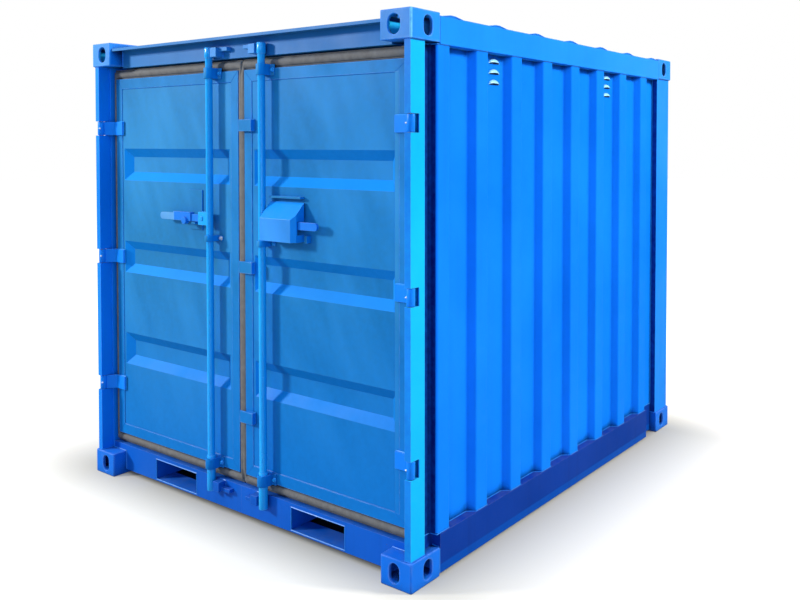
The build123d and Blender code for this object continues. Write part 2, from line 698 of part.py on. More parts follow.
for side_name, side in SIDES.items():
    mid_x = side * leaf_mid_x
    # The frame is a channel that opens into the container
    with BuildPart() as door_frame:
        with BuildSketch(front_plane(leaf_face)):
            with Locations((mid_x, leaf_mid_z)):
                Rectangle(leaf_width, leaf_height)
                Rectangle(panel_width, panel_height, mode=Mode.SUBTRACT)
        extrude(amount=leaf_depth, dir=DEEP)
        with BuildSketch(front_plane(leaf_face + frame_wall)):
            with Locations((mid_x, leaf_mid_z)):
                Rectangle(leaf_width - 2 * frame_wall, leaf_height - 2 * frame_wall)
                Rectangle(panel_width + 2 * frame_wall, panel_height + 2 * frame_wall, mode=Mode.SUBTRACT)
        extrude(amount=leaf_depth, dir=DEEP, mode=Mode.SUBTRACT)
        if side > 0:
            for z in tab_heights:
                block(gasket_inner, tab_end, behind(tab_front), behind(tab_front + tab_thickness),
                      z - tab_height / 2, z + tab_height / 2)
                block(leaf_inner_edge + tab_root, tab_end, behind(tab_front), behind(leaf_face),
                      z - tab_height / 2, z + tab_height / 2)
    save(door_frame.part, f"door_frame_{side_name}")

    # The panel is one sheet with three pressed grooves
    with BuildPart() as door_panel:
        with BuildSketch(front_plane(panel_face)):
            with Locations((mid_x, leaf_mid_z)):
                Rectangle(panel_width, panel_height)
        extrude(amount=panel_skin, dir=DEEP)
        for i in range(groove_count):
            z = leaf_low + frame_bar + groove_flat * (i + 1) + groove_height * (i + 0.5) + groove_shift
            for grow, mode in ((panel_skin, Mode.ADD), (0.0, Mode.SUBTRACT)):
                with BuildSketch(front_plane(panel_face)):
                    with Locations((mid_x, z)):
                        Rectangle(groove_width + 2 * grow, groove_height + 2 * grow)
                with BuildSketch(front_plane(panel_face + groove_depth + grow)):
                    with Locations((mid_x, z)):
                        Rectangle(groove_width - 2 * groove_slope + 2 * grow,
                                  groove_height - 2 * groove_slope + 2 * grow)
                loft(mode=mode)
    save(door_panel.part, f"door_panel_{side_name}")

    # The gasket goes round the edge of the leaf
    with BuildPart() as gasket:
        with BuildSketch(front_plane(leaf_face + gasket_set_back)):
            bar(side * gasket_inner, side * gasket_outer, gasket_low, gasket_high)
            with Locations((mid_x, leaf_mid_z)):
                Rectangle(leaf_width, leaf_height, mode=Mode.SUBTRACT)
        extrude(amount=gasket_depth, dir=DEEP)
    save(gasket.part, f"door_gasket_{side_name}")

    # Three straps run from the knuckles to the face of the leaf
    with BuildPart() as hinge_straps:
        for z in hinge_heights:
            with BuildSketch(Plane.XY.offset(z - knuckle_height / 2)):
                strap_depth = leaf_face - strap_thickness / 2
                bend = strap_depth - hinge_depth
                with BuildLine():
                    Polyline([(side * hinge_x, behind(hinge_depth)),
                              (side * (hinge_x - bend), behind(strap_depth)),
                              (side * (leaf_outer_edge - strap_reach), behind(strap_depth))])
                trace(line_width=strap_thickness)
                with Locations((side * hinge_x, behind(hinge_depth))):
                    Circle(knuckle_radius)
                    Circle(pin_radius + pin_gap, mode=Mode.SUBTRACT)
            extrude(amount=knuckle_height)
    save(hinge_straps.part, f"hinge_straps_{side_name}")

    # Brackets hold the lock rod on the leaf
    with BuildPart() as rod_brackets:
        holes = (collar_radius, rod_radius, rod_radius)
        backs = (leaf_face, panel_face, leaf_face)
        for z, tall, hole, back in zip(bracket_heights, bracket_tall, holes, backs):
            cheek = hole + bracket_wall
            with BuildSketch(Plane.XY.offset(z - tall / 2)):
                with Locations((side * rod_x, behind(rod_depth))):
                    Circle(cheek)
                bar(side * rod_x - cheek, side * rod_x + cheek, behind(rod_depth), behind(back))
                bar(side * rod_x - bracket_foot_width / 2, side * rod_x + bracket_foot_width / 2,
                    behind(back - bracket_foot), behind(back))
                with Locations((side * rod_x, behind(rod_depth))):
                    Circle(hole + bracket_gap, mode=Mode.SUBTRACT)
            extrude(amount=tall)
    save(rod_brackets.part, f"rod_brackets_{side_name}")

    # The lock rod, with a sleeve below, a collar above and a forked hub for the handle
    with BuildPart() as lock_rod:
        rod_lengths = (
            (rod_low, rod_high, rod_radius),
            (rod_low, rod_low + sleeve_height, collar_radius),
            (rod_high - collar_height, rod_high, collar_radius),
        )
        for low, high, radius in rod_lengths:
            with BuildSketch(Plane.XY.offset(low)):
                with Locations((side * rod_x, behind(rod_depth))):
                    Circle(radius)
            extrude(amount=high - low)
        hub_low = handle_height - hub_height / 2
        hub_high = handle_height + hub_height / 2
        hub_reach = handle_bar_depth / 2 + hub_gap + hub_cheek
        block(side * rod_x, side * hub_end, behind(rod_depth - hub_reach), behind(rod_depth + hub_reach),
              hub_low, hub_high)
        block(side * hub_web_end, side * (hub_end + cut_over), behind(rod_depth - hub_reach + hub_cheek),
              behind(rod_depth + hub_reach - hub_cheek), hub_low, hub_high, mode=Mode.SUBTRACT)
        with BuildSketch(front_plane(rod_depth - hub_reach)):
            with Locations((side * handle_pin_x, handle_height)):
                Circle(handle_pin_radius)
        extrude(amount=2 * hub_reach, dir=DEEP)
    save(lock_rod.part, f"lock_rod_{side_name}")

    # The handle turns up and down on the pin in the hub
    with BuildPart() as handle:
        tip = handle_tips[side_name]
        bar_round = handle_bar_height / 2
        with BuildSketch(front_plane(rod_depth - handle_bar_depth / 2)):
            tip_x = side * (tip - bar_round)
            bar(side * handle_pin_x, tip_x, handle_height - bar_round, handle_height + bar_round)
            with Locations((side * handle_pin_x, handle_height), (tip_x, handle_height)):
                Circle(bar_round)
            with Locations((side * handle_pin_x, handle_height)):
                Circle(handle_pin_radius + handle_pin_gap, mode=Mode.SUBTRACT)
        extrude(amount=handle_bar_depth, dir=DEEP)
        if side < 0:
            block(side * hasp_start, side * hasp_end,
                  behind(rod_depth - hasp_depth / 2), behind(rod_depth + hasp_depth / 2),
                  handle_height - bar_round, handle_height + bar_round + hasp_rise)
            with BuildSketch(front_plane(rod_depth - hasp_depth / 2 - knob_length)):
                with Locations((side * knob_x, handle_height - knob_drop)):
                    Circle(knob_radius)
            extrude(amount=knob_length + hasp_depth / 2, dir=DEEP)
    save(handle.part, f"handle_{side_name}")

# The left handle rests over a shelf on a plate that is welded to the panel
with BuildPart() as catch_left:
    block(-catch_plate_start, -catch_plate_end,
          behind(panel_face - catch_plate_thickness), behind(panel_face),
          handle_height - catch_plate_drop, handle_height + catch_plate_rise)
    shelf_top = handle_height - handle_bar_height / 2 - catch_shelf_gap
    block(-catch_shelf_start, -catch_shelf_end, behind(catch_shelf_front), behind(panel_face),
          shelf_top - catch_shelf_thickness, shelf_top)
save(catch_left.part, "handle_catch_left")

# The right leaf has a rain strip over the lock box and a lug beside it
with BuildPart() as catch_right:
    strip_low = handle_height + rain_strip_rise
    block(rain_strip_start, rain_strip_end, behind(rain_strip_front), behind(panel_face),
          strip_low, strip_low + rain_strip_thickness)
    lug_low = handle_height - stay_lug_drop
    block(stay_lug_start, stay_lug_end, behind(stay_lug_front), behind(panel_face),
          lug_low, lug_low + stay_lug_height)
save(catch_right.part, "handle_catch_right")

# The lock box is a sheet hood that the right handle carries, open below and behind
with BuildPart() as lock_box:
    hood = [
        (box_front, box_low),
        (box_front, handle_height + box_face_rise),
        (box_back, handle_height + box_rise),
        (box_back, box_low),
    ]
    with BuildSketch(Plane.YZ.offset(box_start)):
        with BuildLine():
            Polyline([(behind(d), z) for d, z in hood], close=True)
        make_face()
    extrude(amount=box_end - box_start)
    front_edges = lock_box.edges().filter_by(Axis.Z).group_by(Axis.Y)[0]
    chamfer(front_edges.sort_by(Axis.X)[-1], length=box_bevel)
    hidden_faces = [lock_box.faces().sort_by(Axis.Z)[0], lock_box.faces().sort_by(Axis.Y)[-1]]
    offset(amount=-box_sheet, openings=hidden_faces)
    slot_top = handle_height + handle_bar_height / 2
    block(box_end - box_sheet - cut_over, box_end + cut_over,
          behind(box_slot_front), behind(box_back + cut_over),
          handle_height - box_slot_drop, slot_top, mode=Mode.SUBTRACT)
    block(box_start - cut_over, box_start + box_sheet + cut_over,
          behind(rod_depth - hub_reach - box_hub_gap), behind(box_back + cut_over),
          hub_low - box_hub_gap, hub_high + box_hub_gap, mode=Mode.SUBTRACT)
save(lock_box.part, "lock_box")
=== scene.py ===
import math

import bmesh
import bpy
from mathutils import Matrix, Vector, noise


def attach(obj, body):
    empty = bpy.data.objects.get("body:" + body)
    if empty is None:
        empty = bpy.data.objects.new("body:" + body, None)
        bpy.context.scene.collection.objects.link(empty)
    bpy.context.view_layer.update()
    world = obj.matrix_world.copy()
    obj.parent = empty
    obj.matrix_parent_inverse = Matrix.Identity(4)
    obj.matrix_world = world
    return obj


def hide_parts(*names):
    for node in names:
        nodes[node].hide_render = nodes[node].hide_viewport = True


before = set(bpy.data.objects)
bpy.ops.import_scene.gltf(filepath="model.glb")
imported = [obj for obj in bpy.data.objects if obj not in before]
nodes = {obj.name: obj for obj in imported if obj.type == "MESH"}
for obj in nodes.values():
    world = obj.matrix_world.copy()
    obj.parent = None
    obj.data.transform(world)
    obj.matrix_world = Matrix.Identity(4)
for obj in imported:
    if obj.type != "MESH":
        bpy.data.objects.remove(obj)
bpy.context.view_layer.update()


# Corner castings: eight hollow steel castings that carry the whole load. Each is
# cast, fettled, welded to its post and rails, and sprayed with the rest, so a
# faint sand texture shows through the paint.
mm = 0.001


def add_node(nt, kind, **values):
    """A node of a material. in_NAME sets an input, by its name or its number."""
    node = nt.nodes.new(kind)
    for name, value in values.items():
        if name.startswith("in_"):
            key = name[3:]
            node.inputs[int(key) if key.isdigit() else key.replace("_", " ")].default_value = value
        else:
            setattr(node, name, value)
    return node


def start_material(name):
    """A new material that holds one shader, and the object's own coordinates in metres."""
    material = bpy.data.materials.new(name)
    material.use_nodes = True
    nt = material.node_tree
    where = add_node(nt, "ShaderNodeTexCoord").outputs["Object"]
    return material, nt, nt.nodes["Principled BSDF"], where


def feed(nt, value, socket):
    """Links a socket, or sets a number or a colour."""
    if hasattr(value, "is_linked"):
        nt.links.new(value, socket)
    elif isinstance(value, tuple):
        socket.default_value = (*value, 1.0)
    else:
        socket.default_value = value


def mottle(nt, where, scale, stretch=(1, 1, 1), detail=4.0, rough=0.55, shift=0.0):
    """Noise at a scale per metre, stretched along an axis where asked."""
    mapping = add_node(nt, "ShaderNodeMapping", in_Scale=stretch, in_Location=(shift, shift, shift))
    nt.links.new(where, mapping.inputs["Vector"])
    tex = add_node(nt, "ShaderNodeTexNoise", in_Scale=scale, in_Detail=detail, in_Roughness=rough)
    nt.links.new(mapping.outputs[0], tex.inputs["Vector"])
    return tex.outputs["Fac"]


def ramp(nt, value, low, high, out_low=0.0, out_high=1.0):
    """A value mapped from one span to another and held at its ends."""
    node = add_node(nt, "ShaderNodeMapRange", in_1=low, in_2=high, in_3=out_low, in_4=out_high)
    nt.links.new(value, node.inputs[0])
    return node.outputs[0]


def mix_colour(nt, share, a, b):
    """Colour a going over to colour b. Either is a colour or a socket."""
    node = add_node(nt, "ShaderNodeMix", data_type="RGBA")
    for number, value in ((0, share), (6, a), (7, b)):
        feed(nt, value, node.inputs[number])
    return node.outputs[2]


def combine(nt, operation, a, b):
    """Two values added, multiplied or compared."""
    node = add_node(nt, "ShaderNodeMath", operation=operation)
    feed(nt, a, node.inputs[0])
    feed(nt, b, node.inputs[1])
    return node.outputs[0]


def bump_chain(nt, shader, steps):
    """Bumps one over the other, each a height socket with its depth in metres."""
    last = None
    for height, depth in steps:
        bump = add_node(nt, "ShaderNodeBump", in_Strength=1.0, in_Distance=depth)
        nt.links.new(height, bump.inputs["Height"])
        if last:
            nt.links.new(last, bump.inputs["Normal"])
        last = bump.outputs[0]
    nt.links.new(last, shader.inputs["Normal"])


def blue_paint(name, colour, gloss=0.34, shine=0.12, wave=0.0, sand=0.0, streaks=0.3, chips=0.0,
               edge_wear_and_glint=0.35, rust=0.0, hollow_shade=None, chipped=(0.10, 0.075, 0.07), zone=None, door_end_shade=None,
               y_face_light_tone=None, lit_back=None, edge_reach=0.0035, corner_glint=None, downward_shade=0.0):
    """Sprayed blue topcoat: clouds, rain streaks, dust, chips and rust, with painted shade in corners.

    y_face_light_tone is painted light: the tone of faces along Y, with long pale diagonal clouds of
    painted sheen. door_end_shade is painted shade on faces towards the doors, and zone a tone at one
    end of an axis. downward_shade is painted shade on faces that look down, hollow_shade painted shade
    in hollows, lit_back a painted patch of light on an inner wall in a hollow, corner_glint a painted
    highlight on an outer corner, and edge_wear_and_glint pale edges, partly rubbed paint and partly
    painted highlight.
    """
    material, nt, shader, where = start_material(name)
    clouds = 0.12
    pale = tuple(min(0.95, c * (1 + clouds) + 0.004) for c in colour)
    deep = tuple(c * (1 - clouds) for c in colour)
    base = mix_colour(nt, ramp(nt, mottle(nt, where, 1.6, detail=5.0), 0.30, 0.72), deep, pale)
    own = add_node(nt, "ShaderNodeTexCoord")
    own_normal = add_node(nt, "ShaderNodeSeparateXYZ")
    nt.links.new(own.outputs["Normal"], own_normal.inputs[0])
    # Painted light on faces along Y: a greyer tone with long pale diagonal clouds of painted sheen.
    if y_face_light_tone:
        level = combine(nt, "ABSOLUTE", own_normal.outputs["Y"], 0.0)
        leaned = add_node(nt, "ShaderNodeMapping", in_Rotation=(0.0, 0.42, 0.0))
        nt.links.new(where, leaned.inputs["Vector"])
        sheen_clouds = mottle(nt, leaned.outputs[0], 2.6, stretch=(2.0, 1, 0.5), detail=2.0, shift=6.1)
        sheet = mix_colour(nt, ramp(nt, sheen_clouds, 0.36, 0.66), tuple(c * 0.88 for c in y_face_light_tone),
                           tuple(c * 1.16 + 0.008 for c in y_face_light_tone))
        base = mix_colour(nt, ramp(nt, level, 0.86, 0.98), base, sheet)
    if zone:
        zone_colour, axis, near, far, share = zone
        along = add_node(nt, "ShaderNodeSeparateXYZ")
        nt.links.new(where, along.inputs[0])
        base = mix_colour(nt, ramp(nt, along.outputs[axis], near, far, share, 0.0), base, zone_colour)
    # Painted shade on faces that look down.
    if downward_shade:
        down = ramp(nt, own_normal.outputs["Z"], -0.6, -0.25, downward_shade, 0.0)
        base = mix_colour(nt, down, base, tuple(c * 0.25 for c in colour))
    # Painted shade: faces that look towards the doors turn deep navy.
    if door_end_shade:
        base = mix_colour(nt, ramp(nt, own_normal.outputs["Y"], -0.97, -0.90, 0.93, 0.0), base, door_end_shade)
    fine = ramp(nt, mottle(nt, where, 38.0, detail=6.0, shift=3.1), 0.35, 0.75, 0.0, 0.16)
    base = mix_colour(nt, fine, base, pale)
    streak = ramp(nt, mottle(nt, where, 24.0, stretch=(1, 1, 0.035), detail=3.0, shift=7.7), 0.54, 0.80)
    streak = combine(nt, "MULTIPLY", streak, streaks * 0.4)
    base = mix_colour(nt, streak, base, tuple(c * 0.55 + 0.006 for c in colour))
    facing = add_node(nt, "ShaderNodeNewGeometry")
    split = add_node(nt, "ShaderNodeSeparateXYZ")
    nt.links.new(facing.outputs["Normal"], split.inputs[0])
    speck = ramp(nt, mottle(nt, where, 14.0, detail=7.0, rough=0.7, shift=1.9), 0.38, 0.72)
    dust = combine(nt, "MULTIPLY", ramp(nt, split.outputs["Z"], 0.55, 0.98, 0.0, 0.22), speck)
    base = mix_colour(nt, dust, base, (0.22, 0.27, 0.34))
    # Painted shade in corners: the colour darkens in patches where nearby surfaces close it in.
    hollow = add_node(nt, "ShaderNodeAmbientOcclusion", samples=4, in_Distance=0.02)
    corner = ramp(nt, hollow.outputs["AO"], 0.25, 0.80, 1.0, 0.0)
    patchy = ramp(nt, mottle(nt, where, 9.0, detail=6.0, shift=5.3), 0.3, 0.7, 0.15, 0.5)
    corner_shade = combine(nt, "MULTIPLY", corner, patchy)
    base = mix_colour(nt, corner_shade, base, (0.006, 0.022, 0.075))
    # Painted shade in hollows, with a painted patch of light on an inner wall where asked.
    if hollow_shade:
        reach, dark_at, clean_at, share = hollow_shade
        deep_in = add_node(nt, "ShaderNodeAmbientOcclusion", samples=6, in_Distance=reach)
        dark = ramp(nt, deep_in.outputs["AO"], dark_at, clean_at, share, 0.0)
        hollow_shade_tone = (0.002, 0.006, 0.030)
        if lit_back:
            tone, low, high = lit_back
            height = add_node(nt, "ShaderNodeSeparateXYZ")
            nt.links.new(where, height.inputs[0])
            band = combine(nt, "MULTIPLY", ramp(nt, height.outputs["Z"], low, low + 0.002),
                           ramp(nt, height.outputs["Z"], high, high + 0.002, 1.0, 0.0))
            band = combine(nt, "MULTIPLY", band, ramp(nt, own_normal.outputs["X"], 0.90, 0.97))
            across = combine(nt, "ABSOLUTE", height.outputs["X"], 0.0)
            band = combine(nt, "MULTIPLY", band, ramp(nt, across, 0.945, 0.950))
            hollow_shade_tone = mix_colour(nt, band, hollow_shade_tone, tone)
        base = mix_colour(nt, dark, base, hollow_shade_tone)
    # Painted highlight on the outer corners.
    if corner_glint:
        spread = add_node(nt, "ShaderNodeVectorMath", operation="ABSOLUTE")
        nt.links.new(where, spread.inputs[0])
        sides = add_node(nt, "ShaderNodeSeparateXYZ")
        nt.links.new(spread.outputs[0], sides.inputs[0])
        glint_place = combine(nt, "MULTIPLY", ramp(nt, sides.outputs["X"], 1.0920, 1.0940),
                            ramp(nt, sides.outputs["Y"], 1.2110, 1.2130))
        broken = ramp(nt, mottle(nt, where, 26.0, detail=4.0, shift=2.7), 0.34, 0.50, 0.45, 0.95)
        base = mix_colour(nt, combine(nt, "MULTIPLY", glint_place, broken), base, corner_glint)
    bumps = [(mottle(nt, where, 900.0, detail=2.0), 0.00006)]
    if wave:
        bumps.insert(0, (mottle(nt, where, 3.4, detail=2.0, rough=0.4, shift=9.2), wave))
    if sand:
        bumps.insert(0, (mottle(nt, where, 170.0, detail=5.0, rough=0.65), sand))
    # Pale edges: partly rubbed paint, partly a painted highlight along the edges.
    if edge_wear_and_glint:
        rounded = add_node(nt, "ShaderNodeBevel", samples=3, in_Radius=edge_reach)
        bent = add_node(nt, "ShaderNodeVectorMath", operation="DOT_PRODUCT")
        nt.links.new(rounded.outputs[0], bent.inputs[0])
        nt.links.new(facing.outputs["Normal"], bent.inputs[1])
        edge = combine(nt, "MULTIPLY", ramp(nt, bent.outputs["Value"], 0.96, 0.80),
                       ramp(nt, hollow.outputs["AO"], 0.55, 0.9))
        uneven = ramp(nt, mottle(nt, where, 30.0, detail=6.0, shift=6.6), 0.36, 0.62, 0.15, edge_wear_and_glint)
        rubbed_and_glint = combine(nt, "MULTIPLY", edge, uneven)
        base = mix_colour(nt, rubbed_and_glint, base, tuple(min(0.9, c * 0.7 + 0.24) for c in colour))
    if chips:
        cells = add_node(nt, "ShaderNodeTexVoronoi", in_Scale=48.0, in_Randomness=1.0)
        nt.links.new(where, cells.inputs["Vector"])
        rare = ramp(nt, mottle(nt, where, 6.0, detail=3.0, shift=4.4), 0.60, 0.66)
        near = ramp(nt, cells.outputs["Distance"], 0.06, 0.10, chips, 0.0)
        chip = combine(nt, "MULTIPLY", near, rare)
        base = mix_colour(nt, chip, base, chipped)
        bumps.append((ramp(nt, chip, 0.0, 1.0, 1.0, 0.0), 0.0002))
    if rust:
        spot = ramp(nt, mottle(nt, where, 45.0, detail=8.0, rough=0.7, shift=8.1), 0.64, 0.72, 0.0, rust)
        base = mix_colour(nt, spot, base, (0.16, 0.055, 0.02))
    rough = ramp(nt, mottle(nt, where, 5.0, detail=6.0, shift=2.4), 0.30, 0.75, gloss * 0.85, gloss * 1.25)
    rough = combine(nt, "ADD", rough, dust)
    nt.links.new(rough, shader.inputs["Roughness"])
    nt.links.new(base, shader.inputs["Base Color"])
    bump_chain(nt, shader, bumps)
    shader.inputs["Specular IOR Level"].default_value = shine
    return material


def dress(names, material, edge=1.5, rounds=2, clamp=True):
    """Gives CAD nodes a material, and rounds their sharp edges as rolled, bent or cast steel is."""
    for name in names:
        piece = nodes[name]
        piece.data.materials.clear()
        piece.data.materials.append(material)
        weld = piece.modifiers.new("weld", "WELD")
        weld.merge_threshold = 0.00002
        flat = piece.modifiers.new("flat", "DECIMATE")
        flat.decimate_type = "DISSOLVE"
        flat.angle_limit = math.radians(0.4)
        if edge:
            bevel = piece.modifiers.new("edges", "BEVEL")
            bevel.width = edge * mm
            bevel.segments = rounds
            bevel.limit_method = "ANGLE"
            bevel.angle_limit = math.radians(32)
            bevel.harden_normals = True
            bevel.use_clamp_overlap = clamp


cast_skin = {"gloss": 0.42, "sand": 0.0007, "edge_reach": 0.013}
# Painted shade darkens the hollows of all castings. The top ones also carry a painted patch of light on an
# inner wall, a painted highlight on their outer corners and a painted tone on faces along Y.
low_cast = blue_paint("low_casting_paint", (0.002, 0.175, 0.76), shine=0.12, chips=1.0, edge_wear_and_glint=0.8,
                      rust=0.3, hollow_shade=(0.10, 0.25, 0.55, 0.95), **cast_skin)
top_cast = blue_paint("casting_paint", (0.002, 0.250, 0.86), shine=0.14, chips=0.6, edge_wear_and_glint=0.9,
                      hollow_shade=(0.10, 0.42, 0.70, 0.97), lit_back=((0.004, 0.72, 0.98), 2.174, 2.220),
                      corner_glint=(0.20, 0.70, 0.97), y_face_light_tone=(0.018, 0.225, 0.62), **cast_skin)
for level, cast in (("bottom", low_cast), ("top", top_cast)):
    dress([f"castings_door_{level}", f"castings_rear_{level}"], cast, edge=4.0, rounds=3, clamp=False)


# Posts, rails, header and sills: pressed and folded plate of 4 to 6 mm, welded
# into one frame round the box. The posts and top rails are painted lighter than
# the low parts.
plate_coat = {"wave": 0.0010, "chips": 0.6}
dirty_coat = {"gloss": 0.42, "wave": 0.0010, "chips": 0.9, "edge_wear_and_glint": 0.5, "rust": 0.25}
shaded_blue = (0.001, 0.012, 0.16)
post_paint = blue_paint("post_paint", (0.001, 0.235, 0.90), gloss=0.34, shine=0.10, **plate_coat)
# Painted light on the right post: bright cyan on its sides, greyer on its faces along Y.
sunlit_post_paint = blue_paint("sunlit_post_paint", (0.001, 0.480, 0.95), gloss=0.34, shine=0.08,
                              y_face_light_tone=(0.003, 0.205, 0.70), **plate_coat)
rail_paint = blue_paint("rail_paint", (0.003, 0.250, 0.88), gloss=0.36, shine=0.08, **plate_coat)
header_paint = blue_paint("header_paint", (0.016, 0.175, 0.46), gloss=0.42, shine=0.10, **plate_coat)
low_paint = blue_paint("low_paint", (0.002, 0.115, 0.56), shine=0.10, streaks=0.6, **dirty_coat)
dress(["door_post_left"], post_paint, edge=2.5, rounds=3)
dress(["door_post_right"], sunlit_post_paint, edge=2.5, rounds=3)
dress(["top_rail_left", "top_rail_right", "rear_header"], rail_paint, edge=2.0)
# Painted shade: the rear posts' faces towards the doors turn deep navy.
rear_post_paint = blue_paint("rear_post_paint", (0.003, 0.245, 0.88), gloss=0.36, shine=0.08,
                             door_end_shade=shaded_blue, **plate_coat)
dress(["rear_post_left", "rear_post_right"], rear_post_paint, edge=2.0)
dress(["door_header"], header_paint, edge=1.5)
# Painted shadow: the bottom rails are painted very dark, less dark at their foot below about 50 mm.
shadowed_rail_paint = blue_paint("shadowed_rail_paint", (0.001, 0.040, 0.29), shine=0.04, streaks=0.7,
                            zone=((0.001, 0.078, 0.42), 2, 0.044, 0.050, 0.9), **dirty_coat)
dress(["bottom_rail_left", "bottom_rail_right"], shadowed_rail_paint, edge=1.0)
dress(["fork_pocket_left", "fork_pocket_right", "floor_bearers"], low_paint, edge=1.0)
dress(["door_sill", "rear_sill"], low_paint, edge=0.6)


# Weld beads of the frame: hand-laid fillets with fine ripples, painted over, where
# posts, rails, sills and castings meet and round the mouths of the fork pockets.
# Small welded plates close the ends of the door sill and of the bottom rails.
front_y = -1.219


def at(x, depth, z):
    """A place from millimetres across, behind the door end, and up."""
    return Vector((x * mm, front_y + depth * mm, z * mm))


def bead(verts, faces, path, across, radius, step=6.0, ripple=0.22, closed=False):
    """A rippled tube along a line of places, for welds and sealant. Radius and step in millimetres."""
    sides = 6
    points = list(path) + ([path[0]] if closed else [])
    run = [points[0]]
    for a, b in zip(points, points[1:]):
        count = max(1, round((b - a).length / (step * mm)))
        run += [a.lerp(b, (i + 1) / count) for i in range(count)]
    if closed:
        run.pop()
    total = len(run)
    first = len(verts)
    across = Vector(across).normalized()
    for i, point in enumerate(run):
        before = run[i - 1] if i or closed else point
        after = run[(i + 1) % total] if i + 1 < total or closed else point
        other = (after - before).normalized().cross(across)
        swell = radius * mm * (1.0 - ripple * 0.5 + ripple * noise.noise(point * 160.0))
        for k in range(sides):
            turn = math.tau * k / sides
            verts.append(point + swell * (math.cos(turn) * across + math.sin(turn) * other))
    for i in range(total if closed else total - 1):
        a, b = first + i * sides, first + (i + 1) % total * sides
        faces += [(a + k, a + (k + 1) % sides, b + (k + 1) % sides, b + k) for k in range(sides)]
    if not closed:
        faces.append(tuple(first + k for k in range(sides)))
        faces.append(tuple(first + (total - 1) * sides + k for k in range(sides)))


def finish_piece(name, verts, faces, material, body, crease=38):
    """A piece from its corners and faces, in its material, fixed to the body that carries it."""
    mesh = bpy.data.meshes.new(name)
    mesh.from_pydata(verts, [], faces)
    shape = bmesh.new()
    shape.from_mesh(mesh)
    bmesh.ops.recalc_face_normals(shape, faces=shape.faces)
    shape.to_mesh(mesh)
    shape.free()
    mesh.shade_smooth()
    mesh.set_sharp_from_angle(angle=math.radians(crease))
    mesh.materials.append(material)
    piece = bpy.data.objects.new(name, mesh)
    bpy.context.scene.collection.objects.link(piece)
    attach(piece, body)
    return piece


def chamfered_slab(verts, faces, low, high, cut):
    """A slab between two corners in millimetres, with its upper edges cut off."""
    first = len(verts)
    rings = ((low[2], 0), (high[2] - cut, 0), (high[2], cut))
    for z, inset in rings:
        for x, depth in ((low[0] + inset, low[1] + inset), (high[0] - inset, low[1] + inset),
                         (high[0] - inset, high[1] - inset), (low[0] + inset, high[1] - inset)):
            verts.append(at(x, depth, z))
    for ring in (0, 4):
        a = first + ring
        faces += [(a + k, a + (k + 1) % 4, a + 4 + (k + 1) % 4, a + 4 + k) for k in range(4)]
    faces += [tuple(first + k for k in range(4)), tuple(first + 8 + k for k in range(4))]


X, Y, Z = (1, 0, 0), (0, 1, 0), (0, 0, 1)
weld_paint = blue_paint("weld_paint", (0.004, 0.230, 0.82), gloss=0.36, shine=0.35, chips=0.5, edge_wear_and_glint=0.0)
low_weld_paint = blue_paint("low_weld_paint", (0.010, 0.230, 0.74), gloss=0.38, shine=0.40, chips=1.0,
                            edge_wear_and_glint=0.0, rust=0.5, chipped=(0.55, 0.62, 0.68))
on_bottom, on_top = 118.5, 2141.5
casting_inner, casting_outer = 937.5, 1096.8
casting_back, rear_casting = 178, 2260
sill_face, rear_face = 72, 2428
door_post_joint = ((1058, 69), (1058, 10), (1089, 10), (1089, 92), (1060, 92))
rear_post_joint = ((990, 2386), (990, rear_face), (1089, rear_face), (1089, rear_casting),
                   (1060, rear_casting))
verts, faces = [], []
for side in (-1, 1):
    for z in (on_bottom, on_top):
        for joint in (door_post_joint, rear_post_joint):
            bead(verts, faces, [at(side * x, d, z) for x, d in joint], Z, 3.5)
    for depth in (casting_back, rear_casting):
        rail_end = [at(side * casting_outer, depth, z) for z in (2140, 2243)]
        bead(verts, faces, rail_end, X, 3.1, ripple=0.05)
    for depth, high in ((sill_face, 2222), (rear_face, 2240)):
        bead(verts, faces, [at(side * casting_inner, depth, z) for z in (2142, high)], X, 4)
finish_piece("frame_welds", verts, faces, weld_paint, "frame")
verts, faces = [], []
for side in (-1, 1):
    for depth in (sill_face, rear_face):
        bead(verts, faces, [at(side * casting_inner, depth, z) for z in (22, 116)], X, 4)
    sill_end = ((940, on_bottom), (1047, on_bottom), (1047, 150))
    bead(verts, faces, [at(side * x, sill_face, z) for x, z in sill_end], Y, 3.5)
    bead(verts, faces, [at(side * x, casting_back, on_bottom) for x in (1057, 1096)], Y, 3)
    bead(verts, faces, [at(side * casting_outer, casting_back, z) for z in (14, 112)], X, 3.1, ripple=0.05)
    bead(verts, faces, [at(side * 1097.8, 184, 170.6), at(side * 1097.8, 2118, 170.6)], X, 1.5, ripple=0.6)
    for depth in (72.8, 2428.2):
        mouth = [at(side * x, depth, z) for x, z in ((338, 28), (671, 28), (671, 131), (338, 131))]
        bead(verts, faces, mouth, Y, 3.2, closed=True)
finish_piece("sill_welds", verts, faces, low_weld_paint, "frame")
verts, faces = [], []
for x0, x1 in ((-1047, -937), (937, 1047)):
    chamfered_slab(verts, faces, (x0, 125, 144.2), (x1, 180, 149.8), 0.8)
    chamfered_slab(verts, faces, (x0, 174.2, 119), (x1, 180.4, 165.6), 0.8)
for x0, x1 in ((-1080, -1056), (1056, 1080)):
    chamfered_slab(verts, faces, (x0, 2110, 167.5), (x1, 2135, 171.6), 0.8)
finish_piece("sill_end_plates", verts, faces, low_paint, "frame", crease=30)


# Side walls and closed end: 2 mm sheet pressed into deep folds. The sheet is
# springy, so it shows slow waves. A thin bead runs along every fold at the rails
# and up the posts.
wall_blue = (0.002, 0.215, 0.90)
wall_coat = {"gloss": 0.50, "shine": 0.03, "wave": 0.0022, "streaks": 0.45, "chips": 0.3, "edge_wear_and_glint": 0.0}
